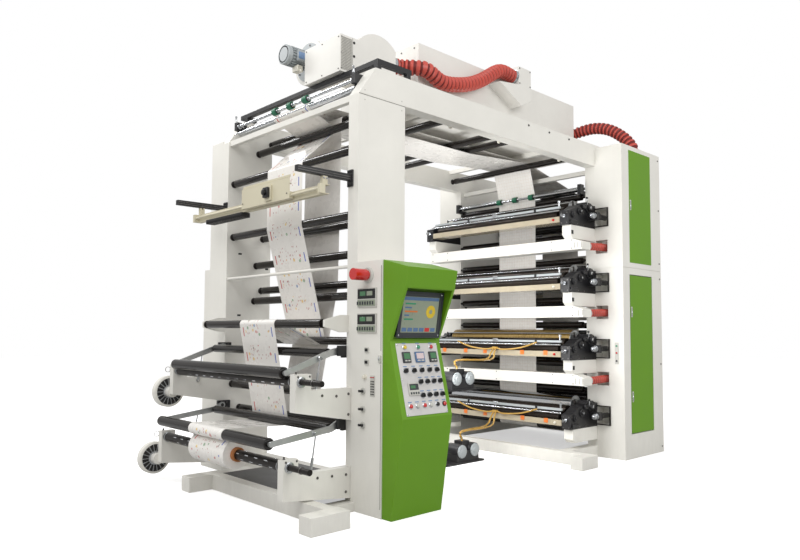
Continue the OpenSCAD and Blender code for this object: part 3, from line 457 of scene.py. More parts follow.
NODE_FINISH = {
    "base_frame": WHITE_PAINT,
    "floor_plates": FLOOR_GRID,
    "winder_side_walls": WHITE_PAINT,
    "bridge_beams": WHITE_PAINT,
    "bridge_ties": WHITE_PAINT,
    "print_side_walls": WHITE_PAINT,
    "drive_cabinet": WHITE_PAINT,
    "far_covers": WHITE_PAINT,
    "upper_door": GREEN_PAINT,
    "lower_door": GREEN_PAINT,
    "console_case": WHITE_PAINT,
    "console_front": GREEN_PAINT,
    "console_screen": DARK_PLASTIC,
    "control_panel": PANEL_PLATE,
    "signal_beacon": RED_LENS,
    "tension_controllers": GREY_PLASTIC,
    "dryer_housing": TOP_WHITE,
    "blower_housing": TOP_WHITE,
    "blower_motor": GREY_PAINT,
    "long_air_hose": RED_HOSE,
    "short_air_hose": RED_HOSE,
    "top_rail": BLACK_PAINT,
    "nip_rollers": CHROME,
    "nip_rings": GREEN_RUBBER,
    "nip_blocks": BLACK_PAINT,
    "frame_idlers": BLACK_ROLLER,
    "print_idlers": BLACK_ROLLER,
    "guide_brackets": WHITE_PAINT,
    "camera_arms": BLACK_PAINT,
    "camera_rail": BEIGE_PAINT,
    "camera_carriage": BEIGE_PAINT,
    "winding_arms": WHITE_PAINT,
    "pivot_brackets": BLACK_PAINT,
    "upper_layon_frame": LAYON,
    "lower_layon_frame": LAYON,
    "upper_strut_tubes": ALUMINIUM,
    "upper_strut_rods": CHROME,
    "lower_struts": ALUMINIUM,
    "upper_winding_shaft": DARK_STEEL,
    "lower_winding_shaft": DARK_STEEL,
    "printed_roll": ROLL_FILM,
    "winding_clutches": WHITE_PAINT,
    "film_web": FILM_WEB,
    "deck_arms": WHITE_PAINT,
    "deck_blocks": BLACK_PAINT,
    "plate_cylinder_1": CHROME,
    "plate_cylinder_2": BRASS_ROLL,
    "plate_cylinder_3": ANILOX,
    "plate_cylinder_4": ANILOX,
    "rear_plate_cylinders": PLATE_POLYMER,
    "ink_rollers": ANILOX,
    "ink_trays": CLEAR_TRAY,
    "drying_ducts": WHITE_PAINT,
    "duct_hoses": RED_HOSE,
    "ink_pumps": BLACK_PAINT,
    "ink_tubes": AMBER_TUBE,
}
for node_name, finish_used in NODE_FINISH.items():
    nodes[node_name].data.materials.clear()
    nodes[node_name].data.materials.append(finish_used)

BOXES = ["base_frame", "winder_side_walls", "bridge_beams", "bridge_ties", "print_side_walls", "drive_cabinet",
         "far_covers", "upper_door", "lower_door", "console_case", "console_front", "console_screen",
         "control_panel", "tension_controllers", "dryer_housing", "blower_housing", "top_rail", "nip_blocks",
         "guide_brackets", "camera_arms", "camera_rail", "camera_carriage", "winding_arms", "pivot_brackets",
         "deck_arms", "deck_blocks", "drying_ducts", "ink_pumps"]
for node_name in BOXES:
    box_like = nodes[node_name]
    weld = box_like.modifiers.new("Joined corners", "WELD")
    weld.merge_threshold = 0.00005
    broken = box_like.modifiers.new("Broken edges", "BEVEL")
    broken.width = 0.0025
    broken.segments = 2
    broken.limit_method = "ANGLE"
    broken.angle_limit = math.radians(40)

# ---------------------------------------------------------------- making pieces

LINE = Matrix.Translation((-MIDDLE_X / 1000, -MIDDLE_Y / 1000, 0.0))


def set_at(x, y, z, turn=0.0, axis="X"):
    """A place on the machine to model at, in line coordinates, turned about one axis."""
    spot = Matrix.Translation((x / 1000, y / 1000, z / 1000))
    return LINE @ spot @ Matrix.Rotation(math.radians(turn), 4, axis)


def at_turn(x, y, z, angle):
    """A place in line coordinates turned about the line's own direction, in radians."""
    return Matrix.Translation((x / 1000, y / 1000, z / 1000)) @ Matrix.Rotation(angle, 4, "X")


def settled(piece, finish, where):
    """The shape gets its finish, and its place goes into the mesh."""
    bpy.ops.object.transform_apply(location=True, rotation=True, scale=True)
    piece.data.transform(where)
    piece.data.materials.append(finish)
    return piece


def block(low, high, finish, edge=1.5, where=LINE):
    """A box between two corners, in millimetres, with its edges broken."""
    low, high = Vector(low) / 1000, Vector(high) / 1000
    bpy.ops.object.select_all(action="DESELECT")
    bpy.ops.mesh.primitive_cube_add(size=1.0, location=(low + high) / 2, scale=high - low)
    piece = bpy.context.object
    bpy.ops.object.transform_apply(location=True, rotation=True, scale=True)
    bpy.ops.object.mode_set(mode="EDIT")
    bpy.ops.mesh.select_all(action="SELECT")
    bpy.ops.mesh.bevel(offset=edge / 1000, segments=1)
    bpy.ops.object.mode_set(mode="OBJECT")
    return settled(piece, finish, where)


def turned(start, way, profile, finish, where=LINE, sides=20, bore=None):
    """A turned part: a disc or ring drawn out along its axis through (distance, radius) steps."""
    if bore:
        first, last = profile[0][0], profile[-1][0]
        profile = [(first, bore), *profile, (last, bore), (first, bore)]
    bpy.ops.object.select_all(action="DESELECT")
    fill = "NOTHING" if bore else "NGON"
    bpy.ops.mesh.primitive_circle_add(vertices=sides, radius=profile[0][1] / 1000, fill_type=fill)
    piece = bpy.context.object
    bpy.ops.object.mode_set(mode="EDIT")
    bpy.ops.mesh.select_all(action="SELECT")
    along, wide = profile[0]
    for far, radius in profile[1:]:
        move = {"value": (0, 0, (far - along) / 1000)}
        if bore:
            bpy.ops.mesh.extrude_edges_move(TRANSFORM_OT_translate=move)
        else:
            bpy.ops.mesh.extrude_region_move(TRANSFORM_OT_translate=move)
        bpy.ops.transform.resize(value=(radius / wide, radius / wide, 1))
        along, wide = far, radius
    bpy.ops.mesh.select_all(action="SELECT")
    bpy.ops.mesh.remove_doubles(threshold=0.00001)
    bpy.ops.mesh.normals_make_consistent(inside=False)
    bpy.ops.object.mode_set(mode="OBJECT")
    piece.rotation_euler = Vector(way).to_track_quat("Z", "Y").to_euler()
    piece.location = Vector(start) / 1000
    return settled(piece, finish, where)


def smooth_route(points, steps=6):
    """A smooth curve through the given points."""
    route = []
    for index in range(len(points) - 1):
        a = Vector(points[max(index - 1, 0)])
        b, c = Vector(points[index]), Vector(points[index + 1])
        d = Vector(points[min(index + 2, len(points) - 1)])
        for step in range(steps):
            t = step / steps
            route.append(
                0.5 * (2 * b + (c - a) * t + (2 * a - 5 * b + 4 * c - d) * t * t
                       + (3 * b - a - 3 * c + d) * t * t * t)
            )
    return route + [Vector(points[-1])]


def wire_curve(route, radius):
    """A curve object laid along a route in millimetres."""
    curve = bpy.data.curves.new("Route", "CURVE")
    curve.dimensions = "3D"
    spline = curve.splines.new("POLY")
    spline.points.add(len(route) - 1)
    for point, place in zip(spline.points, route):
        point.co = (*(Vector(place) / 1000), 1.0)
    curve.bevel_depth = radius / 1000
    curve.bevel_resolution = 3
    curve.use_fill_caps = True
    thing = bpy.data.objects.new("Route", curve)
    bpy.context.scene.collection.objects.link(thing)
    return thing


def bent_rod(points, radius, finish, steps=6, where=LINE):
    """A round rod or tube bent through points."""
    thing = wire_curve(smooth_route(points, steps), radius)
    bpy.ops.object.select_all(action="DESELECT")
    thing.select_set(True)
    bpy.context.view_layer.objects.active = thing
    bpy.ops.object.convert(target="MESH")
    return settled(bpy.context.object, finish, where)


def hose_route(start, leave, middle, finish, arrive):
    """A hose's route with a short straight run at both ends."""
    start, finish, leave, arrive = Vector(start), Vector(finish), Vector(leave), Vector(arrive)
    first, last = start + 25 * leave, finish - 25 * arrive
    full = smooth_route([first - 100 * leave, first, *middle, last, last + 100 * arrive], 8)
    return [start, *full[8:-8], finish]


def corrugated(route, radius, pitch, finish):
    """A ribbed hose: one rib, repeated along its length and bent along its route, with painted shade on each rib's
    falling flank and valley.
    """
    route = [Vector(point) for point in route]
    length = sum((b - a).length for a, b in zip(route, route[1:]))
    count = int(length / pitch)
    pitch = length / count
    bpy.ops.object.select_all(action="DESELECT")
    bpy.ops.mesh.primitive_circle_add(
        vertices=24, radius=radius * 0.84 / 1000, fill_type="NOTHING", rotation=(0, math.pi / 2, 0)
    )
    rib = bpy.context.object
    bpy.ops.object.transform_apply(location=True, rotation=True, scale=True)
    bpy.ops.object.mode_set(mode="EDIT")
    bpy.ops.mesh.select_all(action="SELECT")
    for step, size in ((0.22, 1.0 / 0.84), (0.34, 1.0), (0.22, 0.84), (0.22, 1.0)):
        bpy.ops.mesh.extrude_edges_move(TRANSFORM_OT_translate={"value": (pitch * step / 1000, 0, 0)})
        bpy.ops.transform.resize(value=(1, size, size))
    bpy.ops.object.mode_set(mode="OBJECT")
    row = rib.modifiers.new("Row of ribs", "ARRAY")
    row.count = count
    row.use_merge_vertices = True
    row.merge_threshold = 0.0005
    path = wire_curve(route, 0.0)
    bend = rib.modifiers.new("Bend along the route", "CURVE")
    bend.object = path
    bend.deform_axis = "POS_X"
    bpy.context.view_layer.objects.active = rib
    bpy.ops.object.modifier_apply(modifier=row.name)
    bpy.ops.object.modifier_apply(modifier=bend.name)
    bpy.data.objects.remove(path)
    bpy.ops.object.mode_set(mode="EDIT")
    bpy.ops.mesh.select_all(action="SELECT")
    bpy.ops.mesh.normals_make_consistent(inside=False)
    bpy.ops.object.mode_set(mode="OBJECT")
    settled(rib, finish, LINE)
    # the falling flank and the valley of every rib get the darker red: painted shade in the hose's folds
    rib.data.materials.append(HOSE_VALLEY_SHADE)
    for index, face in enumerate(rib.data.polygons):
        face.material_index = 1 if index // 24 % 4 in (2, 3) else 0
    return rib


def copied(parts, shifts):
    """Copies of parts, each with its own mesh, moved by the given millimetres."""
    made = []
    for shift in shifts:
        for part in parts:
            twin = part.copy()
            twin.data = part.data.copy()
            twin.data.transform(Matrix.Translation(Vector(shift) / 1000))
            bpy.context.scene.collection.objects.link(twin)
            made.append(twin)
    return made


def mirrored(parts, direction, x=0.0, y=0.0):
    """Mirror copies of parts across the plane through a place, square to a direction."""
    centre = at(x, y, 0)
    flip = Matrix.Translation(centre) @ Matrix.Scale(-1, 4, direction) @ Matrix.Translation(-centre)
    made = copied(parts, [(0, 0, 0)])
    for twin in made:
        twin.data.transform(flip)
        twin.data.flip_normals()
    return made


def on_both_sides(parts):
    return parts + mirrored(parts, TO_GEARS)


def on_both_faces(parts):
    return parts + mirrored(parts, TO_TOWER, x=TOWER_MID)


def gathered(name, parts, body=FRAME_BODY, smooth=38):
    """One named piece from its parts, riding on a body."""
    bpy.ops.object.select_all(action="DESELECT")
    for part in parts:
        part.select_set(True)
    bpy.context.view_layer.objects.active = parts[0]
    if len(parts) > 1:
        bpy.ops.object.join()
    piece = bpy.context.object
    piece.name = name
    bpy.ops.object.shade_smooth_by_angle(angle=math.radians(smooth))
    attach(piece, body)
    return piece


def bolts(spots, way, radius, finish, height=None, sides=6):
    """A bolt head modelled once and copied to each place."""
    height = height or radius * 0.8
    profile = [(0, radius * 1.3), (height * 0.2, radius * 1.3), (height * 0.2, radius), (height, radius * 0.9)]
    first = turned(spots[0], way, profile, finish, sides=sides)
    return [first] + copied([first], [Vector(spot) - Vector(spots[0]) for spot in spots[1:]])


# ---------------------------------------------------------------- console


def console_screen_parts():
    """The lit picture on the screen: a plain chart of the running job."""
    where = set_at(819, -1316.5, 1335, 8.78)
    parts = [block((-169, -22, -121), (169, -20.2, 121), SCREEN_PALE, 0.5, where)]
    parts.append(block((-165, -22.6, 96), (165, -21.8, 118), SCREEN_BLUE, 0.2, where))
    parts.append(turned((96, -21.8, 22), TO_OPERATOR, [(0, 44), (1.2, 44)], YELLOW_LENS, where, 28))
    parts.append(turned((96, -22.8, 22), TO_OPERATOR, [(0, 15), (0.6, 15)], SCREEN_PALE, where, 20))
    for row in range(5):
        wide = (96, 60, 118, 44, 82)[row]
        finish = (GREEN_LENS, SCREEN_BLUE, ORANGE_TAG, SCREEN_BLUE, GREEN_LENS)[row]
        low = 68 - row * 26
        parts.append(block((-148, -22.8, low), (-148 + wide, -21.8, low + 10), finish, 0.2, where))
    for column in range(6):
        finish = RED_LENS if column == 4 else SCREEN_BLUE
        left = -160 + column * 54
        parts.append(block((left, -22.8, -114), (left + 44, -21.8, -88), finish, 0.3, where))
    for x in (-186, 186):
        for z in (-138, 138):
            parts += [turned((x, -26, z), TO_OPERATOR, [(0, 6), (2, 6), (3, 4)], CHROME, where, 12)]
    rim = [((-204, -29, -156), (204, -26, -146)), ((-204, -29, 146), (204, -26, 156)),
           ((-204, -29, -146), (-194, -26, 146)), ((194, -29, -146), (204, -26, 146))]
    return parts + [block(low, high, DARK_PLASTIC, 1, where) for low, high in rim]


def panel_meter(u, v, wide, high, where, finish, glass):
    """A meter with its window and two keys below it."""
    left, right, foot, top = u - wide / 2, u + wide / 2, v - high / 2, v + high / 2
    return [
        block((left, -15, foot), (right, -5, top), finish, 2, where),
        block((left + 9, -16.5, v - high / 6), (right - 9, -14.8, top - 9), glass, 0.5, where),
        block((left + 12, -17.5, foot + 8), (u - 4, -14.8, foot + 17), GREY_PLASTIC, 1, where),
        block((u + 4, -17.5, foot + 8), (right - 12, -14.8, foot + 17), GREY_PLASTIC, 1, where),
    ]


def panel_knob(u, v, where, lean):
    pointer = block((-3.5, -30, -14), (3.5, -6, 14), BLACK_KNOB, 1.2, Matrix())
    spin = where @ Matrix.Translation((u / 1000, 0, v / 1000)) @ Matrix.Rotation(lean, 4, "Y")
    pointer.data.transform(spin)
    return [
        turned((u, -5, v), TO_OPERATOR, [(0, 22), (3, 22), (3.5, 19)], CHROME, where, 20),
        turned((u, -8, v), TO_OPERATOR, [(0, 16), (14, 14.5), (16, 12)], BLACK_KNOB, where, 18),
        pointer,
        block((u - 17, -6.2, v + 26), (u + 17, -5, v + 32), LABEL_BLUE, 0.2, where),
    ]


def panel_button(u, v, finish, where, ring=None):
    return [
        turned((u, -5, v), TO_OPERATOR, [(0, 18), (4, 18), (5, 15)], ring or CHROME, where, 20),
        turned((u, -9, v), TO_OPERATOR, [(0, 13), (8, 13), (10, 10)], finish, where, 18),
        block((u - 17, -6.2, v + 24), (u + 17, -5, v + 30), LABEL_BLUE, 0.2, where),
    ]


def console_panel_parts():
    """Lamps, meters, knobs and buttons on the sloping control plate."""
    where = set_at(819, -1354, 907, -13.76)
    parts = []
    for u, finish in ((-120, YELLOW_LENS), (5, GREEN_LENS), (128, RED_LENS)):
        parts += panel_button(u, 212, finish, where)
    parts += panel_meter(-117, 144, 72, 72, where, DARK_PLASTIC, GREEN_DIGITS)
    parts += panel_meter(6, 144, 86, 72, where, SCREEN_BLUE, PINK_PAPER)
    parts += panel_meter(132, 144, 72, 72, where, DARK_PLASTIC, GREEN_DIGITS)
    for index, u in enumerate((-143, -67, 5, 78, 150)):
        parts += panel_knob(u, 55, where, (0.5, -0.4, 0.0, 0.6, -0.7)[index])
    for v in (-22, -112):
        for index, u in enumerate((-23, 40, 102, 163)):
            parts += panel_knob(u, v, where, (0.3, -0.6, 0.7, 0.0)[index] + v / 200)
    parts += [
        block((-146, -14, -110), (-50, -5, -26), GREY_PLASTIC, 2, where),
        block((-138, -15.5, -74), (-58, -13.8, -34), DARK_PLASTIC, 1, where),
        block((-130, -16.2, -64), (-86, -15.2, -44), GREEN_DIGITS, 0.3, where),
    ]
    for u in (-130, -108, -86, -64):
        parts.append(block((u - 7, -16, -102), (u + 7, -13.8, -88), DARK_PLASTIC, 1, where))
    for u, finish in ((-150, RED_LENS), (-86, GREY_PLASTIC), (-22, RED_LENS), (39, GREY_PLASTIC),
                      (101, BLACK_KNOB)):
        parts += panel_button(u, -179, finish, where)
    parts += panel_button(168, -179, RED_LENS, where, BLACK_KNOB)
    for u in (-184, 184):
        for v in (-230, 0, 230):
            parts.append(turned((u, -5, v), TO_OPERATOR, [(0, 5), (2, 5), (3, 3)], CHROME, where, 12))
    return parts


def case_side_parts():
    """Instruments on the console's face towards the winding tower's shafts."""
    parts = [turned((577, -1080, 1600), TO_WINDER, [(0, 56), (5, 56), (10, 48), (14, 47)], GREY_PLASTIC,
                    sides=28)]
    for z in (1382, 1209):
        parts += [
            block((562, -1166, z + 58), (565.2, -986, z + 124), BLACK_KNOB, 1),
            block((561, -1140, z + 78), (562.4, -1082, z + 108), SCREEN_PALE, 0.3),
            block((561, -1070, z + 78), (562.4, -1012, z + 108), GREEN_DIGITS, 0.3),
            block((562, -1166, z + 8), (565.2, -986, z + 50), SCREEN_PALE, 0.8),
        ]
        for y in range(-1152, -995, 26):
            parts.append(block((560, y, z + 16), (562.4, y + 16, z + 40), DARK_PLASTIC, 1))
    for z in (1076, 994):
        parts.append(block((566, -1090, z + 8), (568.4, -1060, z + 28), BLACK_KNOB, 0.6))
    socket = [(0, 18), (5, 18), (5, 12), (20, 12), (22, 9)]
    parts.append(turned((577, -1056, 911), TO_WINDER, socket, CREAM_PART))
    for step in range(4):
        parts.append(turned((572, -1151 + step * 11, 912), TO_WINDER, [(0, 3.5), (3, 3.5)], RED_LENS, sides=10))
    for row in range(6):
        for column in range(3):
            y = -1153 + column * 13
            z = 890 - row * 17
            parts.append(block((570.4, y, z - 10), (572.4, y + 9, z), BLACK_KNOB, 0.6))
    for z in (816, 696, 589):
        parts.append(turned((577, -1038, z), TO_WINDER, [(0, 24), (4, 24), (6, 20)], GREY_PLASTIC, sides=24))
        parts.append(turned((571, -1038, z), TO_WINDER, [(0, 10), (14, 9)], BLACK_KNOB, sides=14))
        wing = [block((548, -1062, z - 8), (560, -1040, z + 8), BLACK_KNOB, 3),
                block((548, -1036, z - 8), (560, -1014, z + 8), BLACK_KNOB, 3)]
        parts += wing
    parts.append(block((565, -1218, 1010), (577.2, -1196, 1062), GREY_PLASTIC, 3))
    parts.append(block((560, -1213, 1026), (566, -1201, 1050), CHROME, 2))
    parts.append(block((575.6, -1216, 1090), (577.3, -1212, 1660), SEAM, 0.2))
    parts.append(block((575.6, -1216, 60), (577.3, -1212, 1000), SEAM, 0.2))
    return parts


gathered("Console_picture", console_screen_parts())
gathered("Console_controls", console_panel_parts())
gathered("Console_side_instruments", case_side_parts())

# ---------------------------------------------------------------- winding stations


def arm_fittings(x, z, back):
    """Bearing ring, bolts and a stud on a winding arm's outer face."""
    parts = [turned((x, ARM_FACE, z), TO_OPERATOR, [(0, 36), (9, 36), (11, 33)], ALUMINIUM, bore=22)]
    spots = [(x + 28 * math.cos(a), -916, z + 28 * math.sin(a)) for a in (0.8, 2.4, 3.9, 5.5)]
    parts += bolts(spots, TO_OPERATOR, 4, STEEL)
    parts += [turned((x, -844.5, z), TO_GEARS, [(0, 34), (6, 34), (7, 31)], DARK_STEEL, bore=29)]
    parts += bolts([(x - 26, ARM_FACE, z + 34), (x + back - 12, ARM_FACE, z + 34)], TO_OPERATOR, 6, STEEL)
    parts.append(turned((x - 20, -876, z + 48), UP, [(0, 9), (5, 9), (5, 6), (18, 6)], STEEL, sides=6))
    return parts


arm_parts = on_both_sides(arm_fittings(*LOWER_SHAFT, 70) + arm_fittings(*UPPER_SHAFT, 80))
for spots in (((300, 255), (420, 250), (540, 245), (540, 130)), ((330, 790), (450, 780), (555, 790), (555, 650))):
    arm_parts += on_both_sides(bolts([(x, ARM_FACE, z) for x, z in spots], TO_OPERATOR, 8, STEEL))
gathered("Winding_arm_bearings", arm_parts)


bracket = []
for z in (1083, 580):
    bracket += bolts([(x, -818, z + rise) for x in (600, 575) for rise in (20, -20)], TO_GEARS, 6, STEEL)
    bracket.append(block((552, -818, z - 48), (628, -845, z - 36), BLACK_PAINT, 2))
gathered("Pivot_bracket_bolts", on_both_sides(bracket))


def shaft_strips(x, z):
    """The bright gripping strips that stand out of a winding shaft, and its collars."""
    parts = []
    for turn in range(6):
        strip = block((-3.5, -20, 34), (3.5, 20, 37.2), CHROME, 0.8, Matrix())
        strip.data.transform(set_at(x, 0, z, turn * 60, "Y"))
        spots = [(0, y + (60 if turn % 2 else 0), 0) for y in range(-740, 700, 120)]
        parts += copied([strip], spots)
        bpy.data.objects.remove(strip)
    for side in (-1, 1):
        parts.append(turned((x, side * 812, z), (0, side, 0), [(0, 39), (3, 40), (9, 40), (10, 36)], ALUMINIUM))
        parts.append(turned((x, side * 1040, z), (0, side, 0), [(0, 24), (4, 24), (5, 22)], STEEL, bore=20.4))
    return parts


gathered("Upper_shaft_strips", shaft_strips(*UPPER_SHAFT), body="upper_shaft")
gathered("Lower_shaft_strips", shaft_strips(*LOWER_SHAFT), body="lower_shaft")
core = [turned((LOWER_SHAFT[0], side * 257, LOWER_SHAFT[1]), (0, side, 0), [(-2, 50), (30, 50), (31, 48)],
               CARDBOARD, sides=32, bore=38) for side in (-1, 1)]
gathered("Roll_core", core, body="lower_shaft")


def clutch_parts(x, z):
    """The finned face of a powder clutch, round its hub."""
    parts = [
        turned((x, 975, z), TO_OPERATOR, [(0, 127), (5, 127), (8, 122)], WHITE_PAINT, sides=48, bore=112),
        turned((x, 975, z), TO_OPERATOR, [(0, 111), (1, 111)], BLACK_PAINT, sides=40, bore=45),
        turned((x, 974, z), TO_OPERATOR, [(0, 56), (8, 56), (10, 52)], ALUMINIUM, sides=28, bore=45),
    ]
    for step in range(18):
        vane = block((56, 967, -2.4), (110, 974, 2.4), ALUMINIUM, 0.8, Matrix())
        vane.data.transform(set_at(x, 0, z, step * 20, "Y"))
        parts.append(vane)
    return parts


gathered("Clutch_fans", clutch_parts(37, 167) + clutch_parts(147, 706))

# ---------------------------------------------------------------- rollers and nips

ROLLERS = [(737, 543), (941, 1585), (950, 2060), (1030, 2952), (895, 2842), (645, 2524), (645, 2049),
           (820, 1145), (885, 1809), (868, 1488), (660, 754), (410, 1272)]
ROLLERS += [(x, 2995) for x in (1711, 2354, 2600, 3541)]
first_ring = turned((0, HALF_GAP, 0), TO_OPERATOR, [(0, 31), (5, 31), (7, 28), (16, 24)], DARK_STEEL,
                    sides=18, bore=14.4)
ring_bolts = bolts([(24 * math.cos(a), 839, 24 * math.sin(a)) for a in (0.8, 2.9, 5.0)], TO_OPERATOR, 3, STEEL)
ring_set = [first_ring] + ring_bolts
places = [(x, 0, z) for x, z in ROLLERS]
places += [(x, 0, z + rise) for x in (PRINT_IDLER_X, 2 * TOWER_MID - PRINT_IDLER_X)
           for z in DECKS for rise in (-247, 150)]
flanges = on_both_sides(copied(ring_set, places))
for part in ring_set:
    bpy.data.objects.remove(part)
gathered("Roller_bearing_rings", flanges)

nip_parts = []
RING_BORE = 13.3
for x, z in ((659.9, 3045.3), (3636.5, 2676)):
    for y in (-215, 0, 215):
        nip_parts.append(turned((x, y - 26, z), TO_OPERATOR, [(0, 23), (2, 23), (4, 21)], BLACK_KNOB,
                                bore=RING_BORE))
        nip_parts.append(turned((x, y - 28, z), TO_OPERATOR, [(0, 17), (8, 17), (10, 15)], CHROME, bore=RING_BORE))
    for side in (-1, 1):
        nip_parts.append(turned((x, side * 805, z), (0, -side, 0), [(0, 22), (12, 22), (14, 20)], CHROME,
                                bore=RING_BORE))
nip_parts += on_both_sides(
    bolts([(640, -804.5, 3078), (675, -804.5, 3078), (700, -804.5, 3048)], TO_GEARS, 6, CHROME)
    + [turned((640, -825, 3094), UP, [(0, 12), (6, 12), (6, 7), (34, 7), (40, 11), (46, 9)], CHROME, sides=14)]
)
nip_parts += [bent_rod([(612, -800, 2962), (612, 800, 2962)], 6, CHROME, 2)]
gathered("Nip_hubs", nip_parts)

# ---------------------------------------------------------------- camera unit

rail_parts = []
for y in range(130, 700, 14):
    rail_parts.append(block((301, y, 2112), (383, y + 8, 2148), BLACK_RUBBER, 2))
rail_parts.append(block((307, 126, 2117), (377, 700, 2146), BLACK_RUBBER, 1))
gathered("Camera_bellows", rail_parts)

carriage = [
    block((296, -548, 2318.5), (300, 96, 2336), BEIGE_PAINT, 1),
    block((270, -330, 2176), (286, -250, 2290), BEIGE_PAINT, 2),
    block((246, -322, 2196), (271, -258, 2272), BLACK_PAINT, 4),
    turned((246, -290, 2234), TO_WINDER, [(0, 22), (16, 22), (18, 18)], BLACK_KNOB, sides=24),
]
carriage += bolts([(286, y, 2200) for y in (-520, 80)], TO_WINDER, 5, STEEL)
gathered("Camera_head", carriage, body="camera_slide")

arm_ends = []
for rise in (-8, 8):
    arm_ends.append(block((124, -853.6, 2297 + rise - 2), (570, -852.4, 2297 + rise + 2), STEEL, 0.3))
    arm_ends.append(block((124, -890.4, 2297 + rise - 2), (570, -889, 2297 + rise + 2), STEEL, 0.3))
arm_ends += bolts([(573, y, z) for z in (2344, 2250) for y in (-862, -888)], TO_WINDER, 8, BLACK_KNOB)
arm_ends += bolts([(350, -855, 2270), (338, -890, 2262), (362, -890, 2262)], TO_OPERATOR, 6, CHROME)
gathered("Camera_arm_bolts", on_both_sides(arm_ends))

# ---------------------------------------------------------------- top equipment

HOSE_Y = DRYER_FACE - 66 - 18
long_route = hose_route(
    (1330.3, -463, 3440), TO_TOWER,
    [(1440.3, -492, 3440), (1530.3, -580, 3435), (1620, HOSE_Y, 3425), (1812, HOSE_Y, 3371),
     (2086, HOSE_Y, 3424), (2307, HOSE_Y, 3517), (2583, HOSE_Y + 4, 3680)],
    (2822.7, -599, 3690), TO_TOWER)
gathered("Long_corrugated_hose", [corrugated(long_route, 65.5, 46, RED_HOSE)], smooth=24)
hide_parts("long_air_hose")
short_route = hose_route(
    (3985.3, -396, 3385), TO_TOWER,
    [(4095.3, -420, 3405), (4150.3, -520, 3440), (4165, -680, 3445), (4172, -850, 3395),
     (4180, -1000, 3290), (4185, -1090, 3180)],
    (4185, -1112, 3083.3), DOWN)
gathered("Short_corrugated_hose", [corrugated(short_route, 61.5, 46, RED_HOSE)], smooth=24)
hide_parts("short_air_hose")


def collar(end, way, radius, flange):
    """A band with a flange round a hose's end."""
    steps = [(0, radius + 7.5), (flange, radius + 7.5), (flange, radius + 2.5), (30, radius + 2.5)]
    return turned(end, way, steps, CHROME, sides=32, bore=radius)


collars = [
    collar((1330.4, -463, 3440), TO_TOWER, 66.5, 10),
    collar((2822.6, -599, 3690), TO_WINDER, 66.5, 6),
    collar((3985.6, -396, 3385), TO_TOWER, 62.5, 8),
    collar((4185, -1112, 3083.4), UP, 62.5, 8),
]
gathered("Hose_collars", collars)

blower = [block((868, -532.2, 3222), (871, -530.6, 3506), SEAM, 0.2)]
blower += bolts([(884, DRYER_FACE, z) for z in (3256, 3364, 3472)], TO_OPERATOR, 9, BLACK_KNOB)
blower += bolts([(760, DRYER_FACE, z) for z in (3240, 3364, 3490)], TO_OPERATOR, 5, STEEL)
blower += bolts([(747, y, z) for y in (-510, -300, -90) for z in (3238, 3490)], TO_WINDER, 5, STEEL)
blower += [block((756, -532, 3234), (862, -530.7, 3494), OVEN_MESH, 0.4)]
gathered("Heater_seams", blower)

motor = []
for step in range(22):
    fin = block((-840, -3, 66), (-700, 3, 84), GREY_PAINT, 1, Matrix())
    spin = at_turn(0, MOTOR_Y, MOTOR_Z, step * math.tau / 22)
    fin.data.transform(LINE @ spin @ Matrix.Translation((1.54, 0, 0)))
    motor.append(fin)
motor += [
    turned((690, MOTOR_Y, MOTOR_Z), TO_WINDER, [(0, 83), (34, 83), (40, 76), (40, 60), (37, 58)], GREY_PAINT,
           sides=36),
    turned((842, MOTOR_Y, MOTOR_Z), TO_TOWER, [(0, 88), (12, 88), (16, 84)], GREY_PAINT, sides=36),
    block((730, 6, 3450), (820, 34, 3540), GREY_PAINT, 4),
    block((738, 3, 3468), (812, 7, 3524), LABEL_BLUE, 1),
    block((744, 30, 3372), (800, 110, 3424), CREAM_PART, 5),
    turned((772, 20, 3384), DOWN, [(0, 15), (20, 15), (24, 12)], CREAM_PART, sides=18),
]
ring = [step * math.tau / 8 + 0.2 for step in range(8)]
motor += bolts([(894.5, MOTOR_Y + 140 * math.cos(a), MOTOR_Z + 140 * math.sin(a)) for a in ring], TO_WINDER, 8,
               STEEL)
gathered("Motor_fins", motor)

dryer = bolts([(x, DRYER_FACE, 3150) for x in (1700, 2350, 3080, 3500, 3900)], TO_OPERATOR, 8, BLACK_KNOB)
dryer += bolts([(1595, y, z) for y in range(-480, 500, 160) for z in (3152, 3655)], TO_WINDER, 7, STEEL)
dryer.append(block((1593.8, -480, 3190), (1595.2, 480, 3620), TOP_WHITE, 0.5))
dryer += bolts([(x, -667, z) for x in (2836, 3003) for z in (3616, 3764)], TO_OPERATOR, 6, STEEL)
gathered("Dryer_bolts", dryer)

# ---------------------------------------------------------------- bridge

beam_parts = [block((585, -956.2, 2894), (1035, -954.6, 2898), SEAM, 0.3)]
beam_parts += bolts([(x, BEAM_FACE, z) for x in (640, 1000) for z in (2930, 2860)], TO_OPERATOR, 4,
                    GREY_PLASTIC)
beam_parts += bolts([(x, BEAM_FACE, 3085) for x in (2580, 2900, 3230)], TO_OPERATOR, 8, BLACK_KNOB)
SPOOL = [(0, 15), (10, 15), (12, 9), (34, 9), (38, 17), (52, 17), (56, 12)]
beam_parts += [turned((x, -838, 2925), TO_GEARS, SPOOL, CREAM_PART) for x in (2354, 1711, 3300)]
gathered("Bridge_fittings", beam_parts)

wall_parts = []
for x, z in ((700, 1350), (930, 1250), (700, 1900), (980, 1780), (720, 2300), (900, 2560)):
    wall_parts.append(block((x, 843.6, z), (x + 34, 845.4, z + 16), BLACK_KNOB, 0.6))
for z in (1500, 2150, 2700):
    wall_parts.append(block((3760, 843.6, z), (3800, 845.4, z + 18), BLACK_KNOB, 0.6))
gathered("Wall_caps", wall_parts)

# ---------------------------------------------------------------- printing decks


STUD = [(0, 20), (14, 20), (14, 11), (34, 11), (38, 15), (52, 14)]


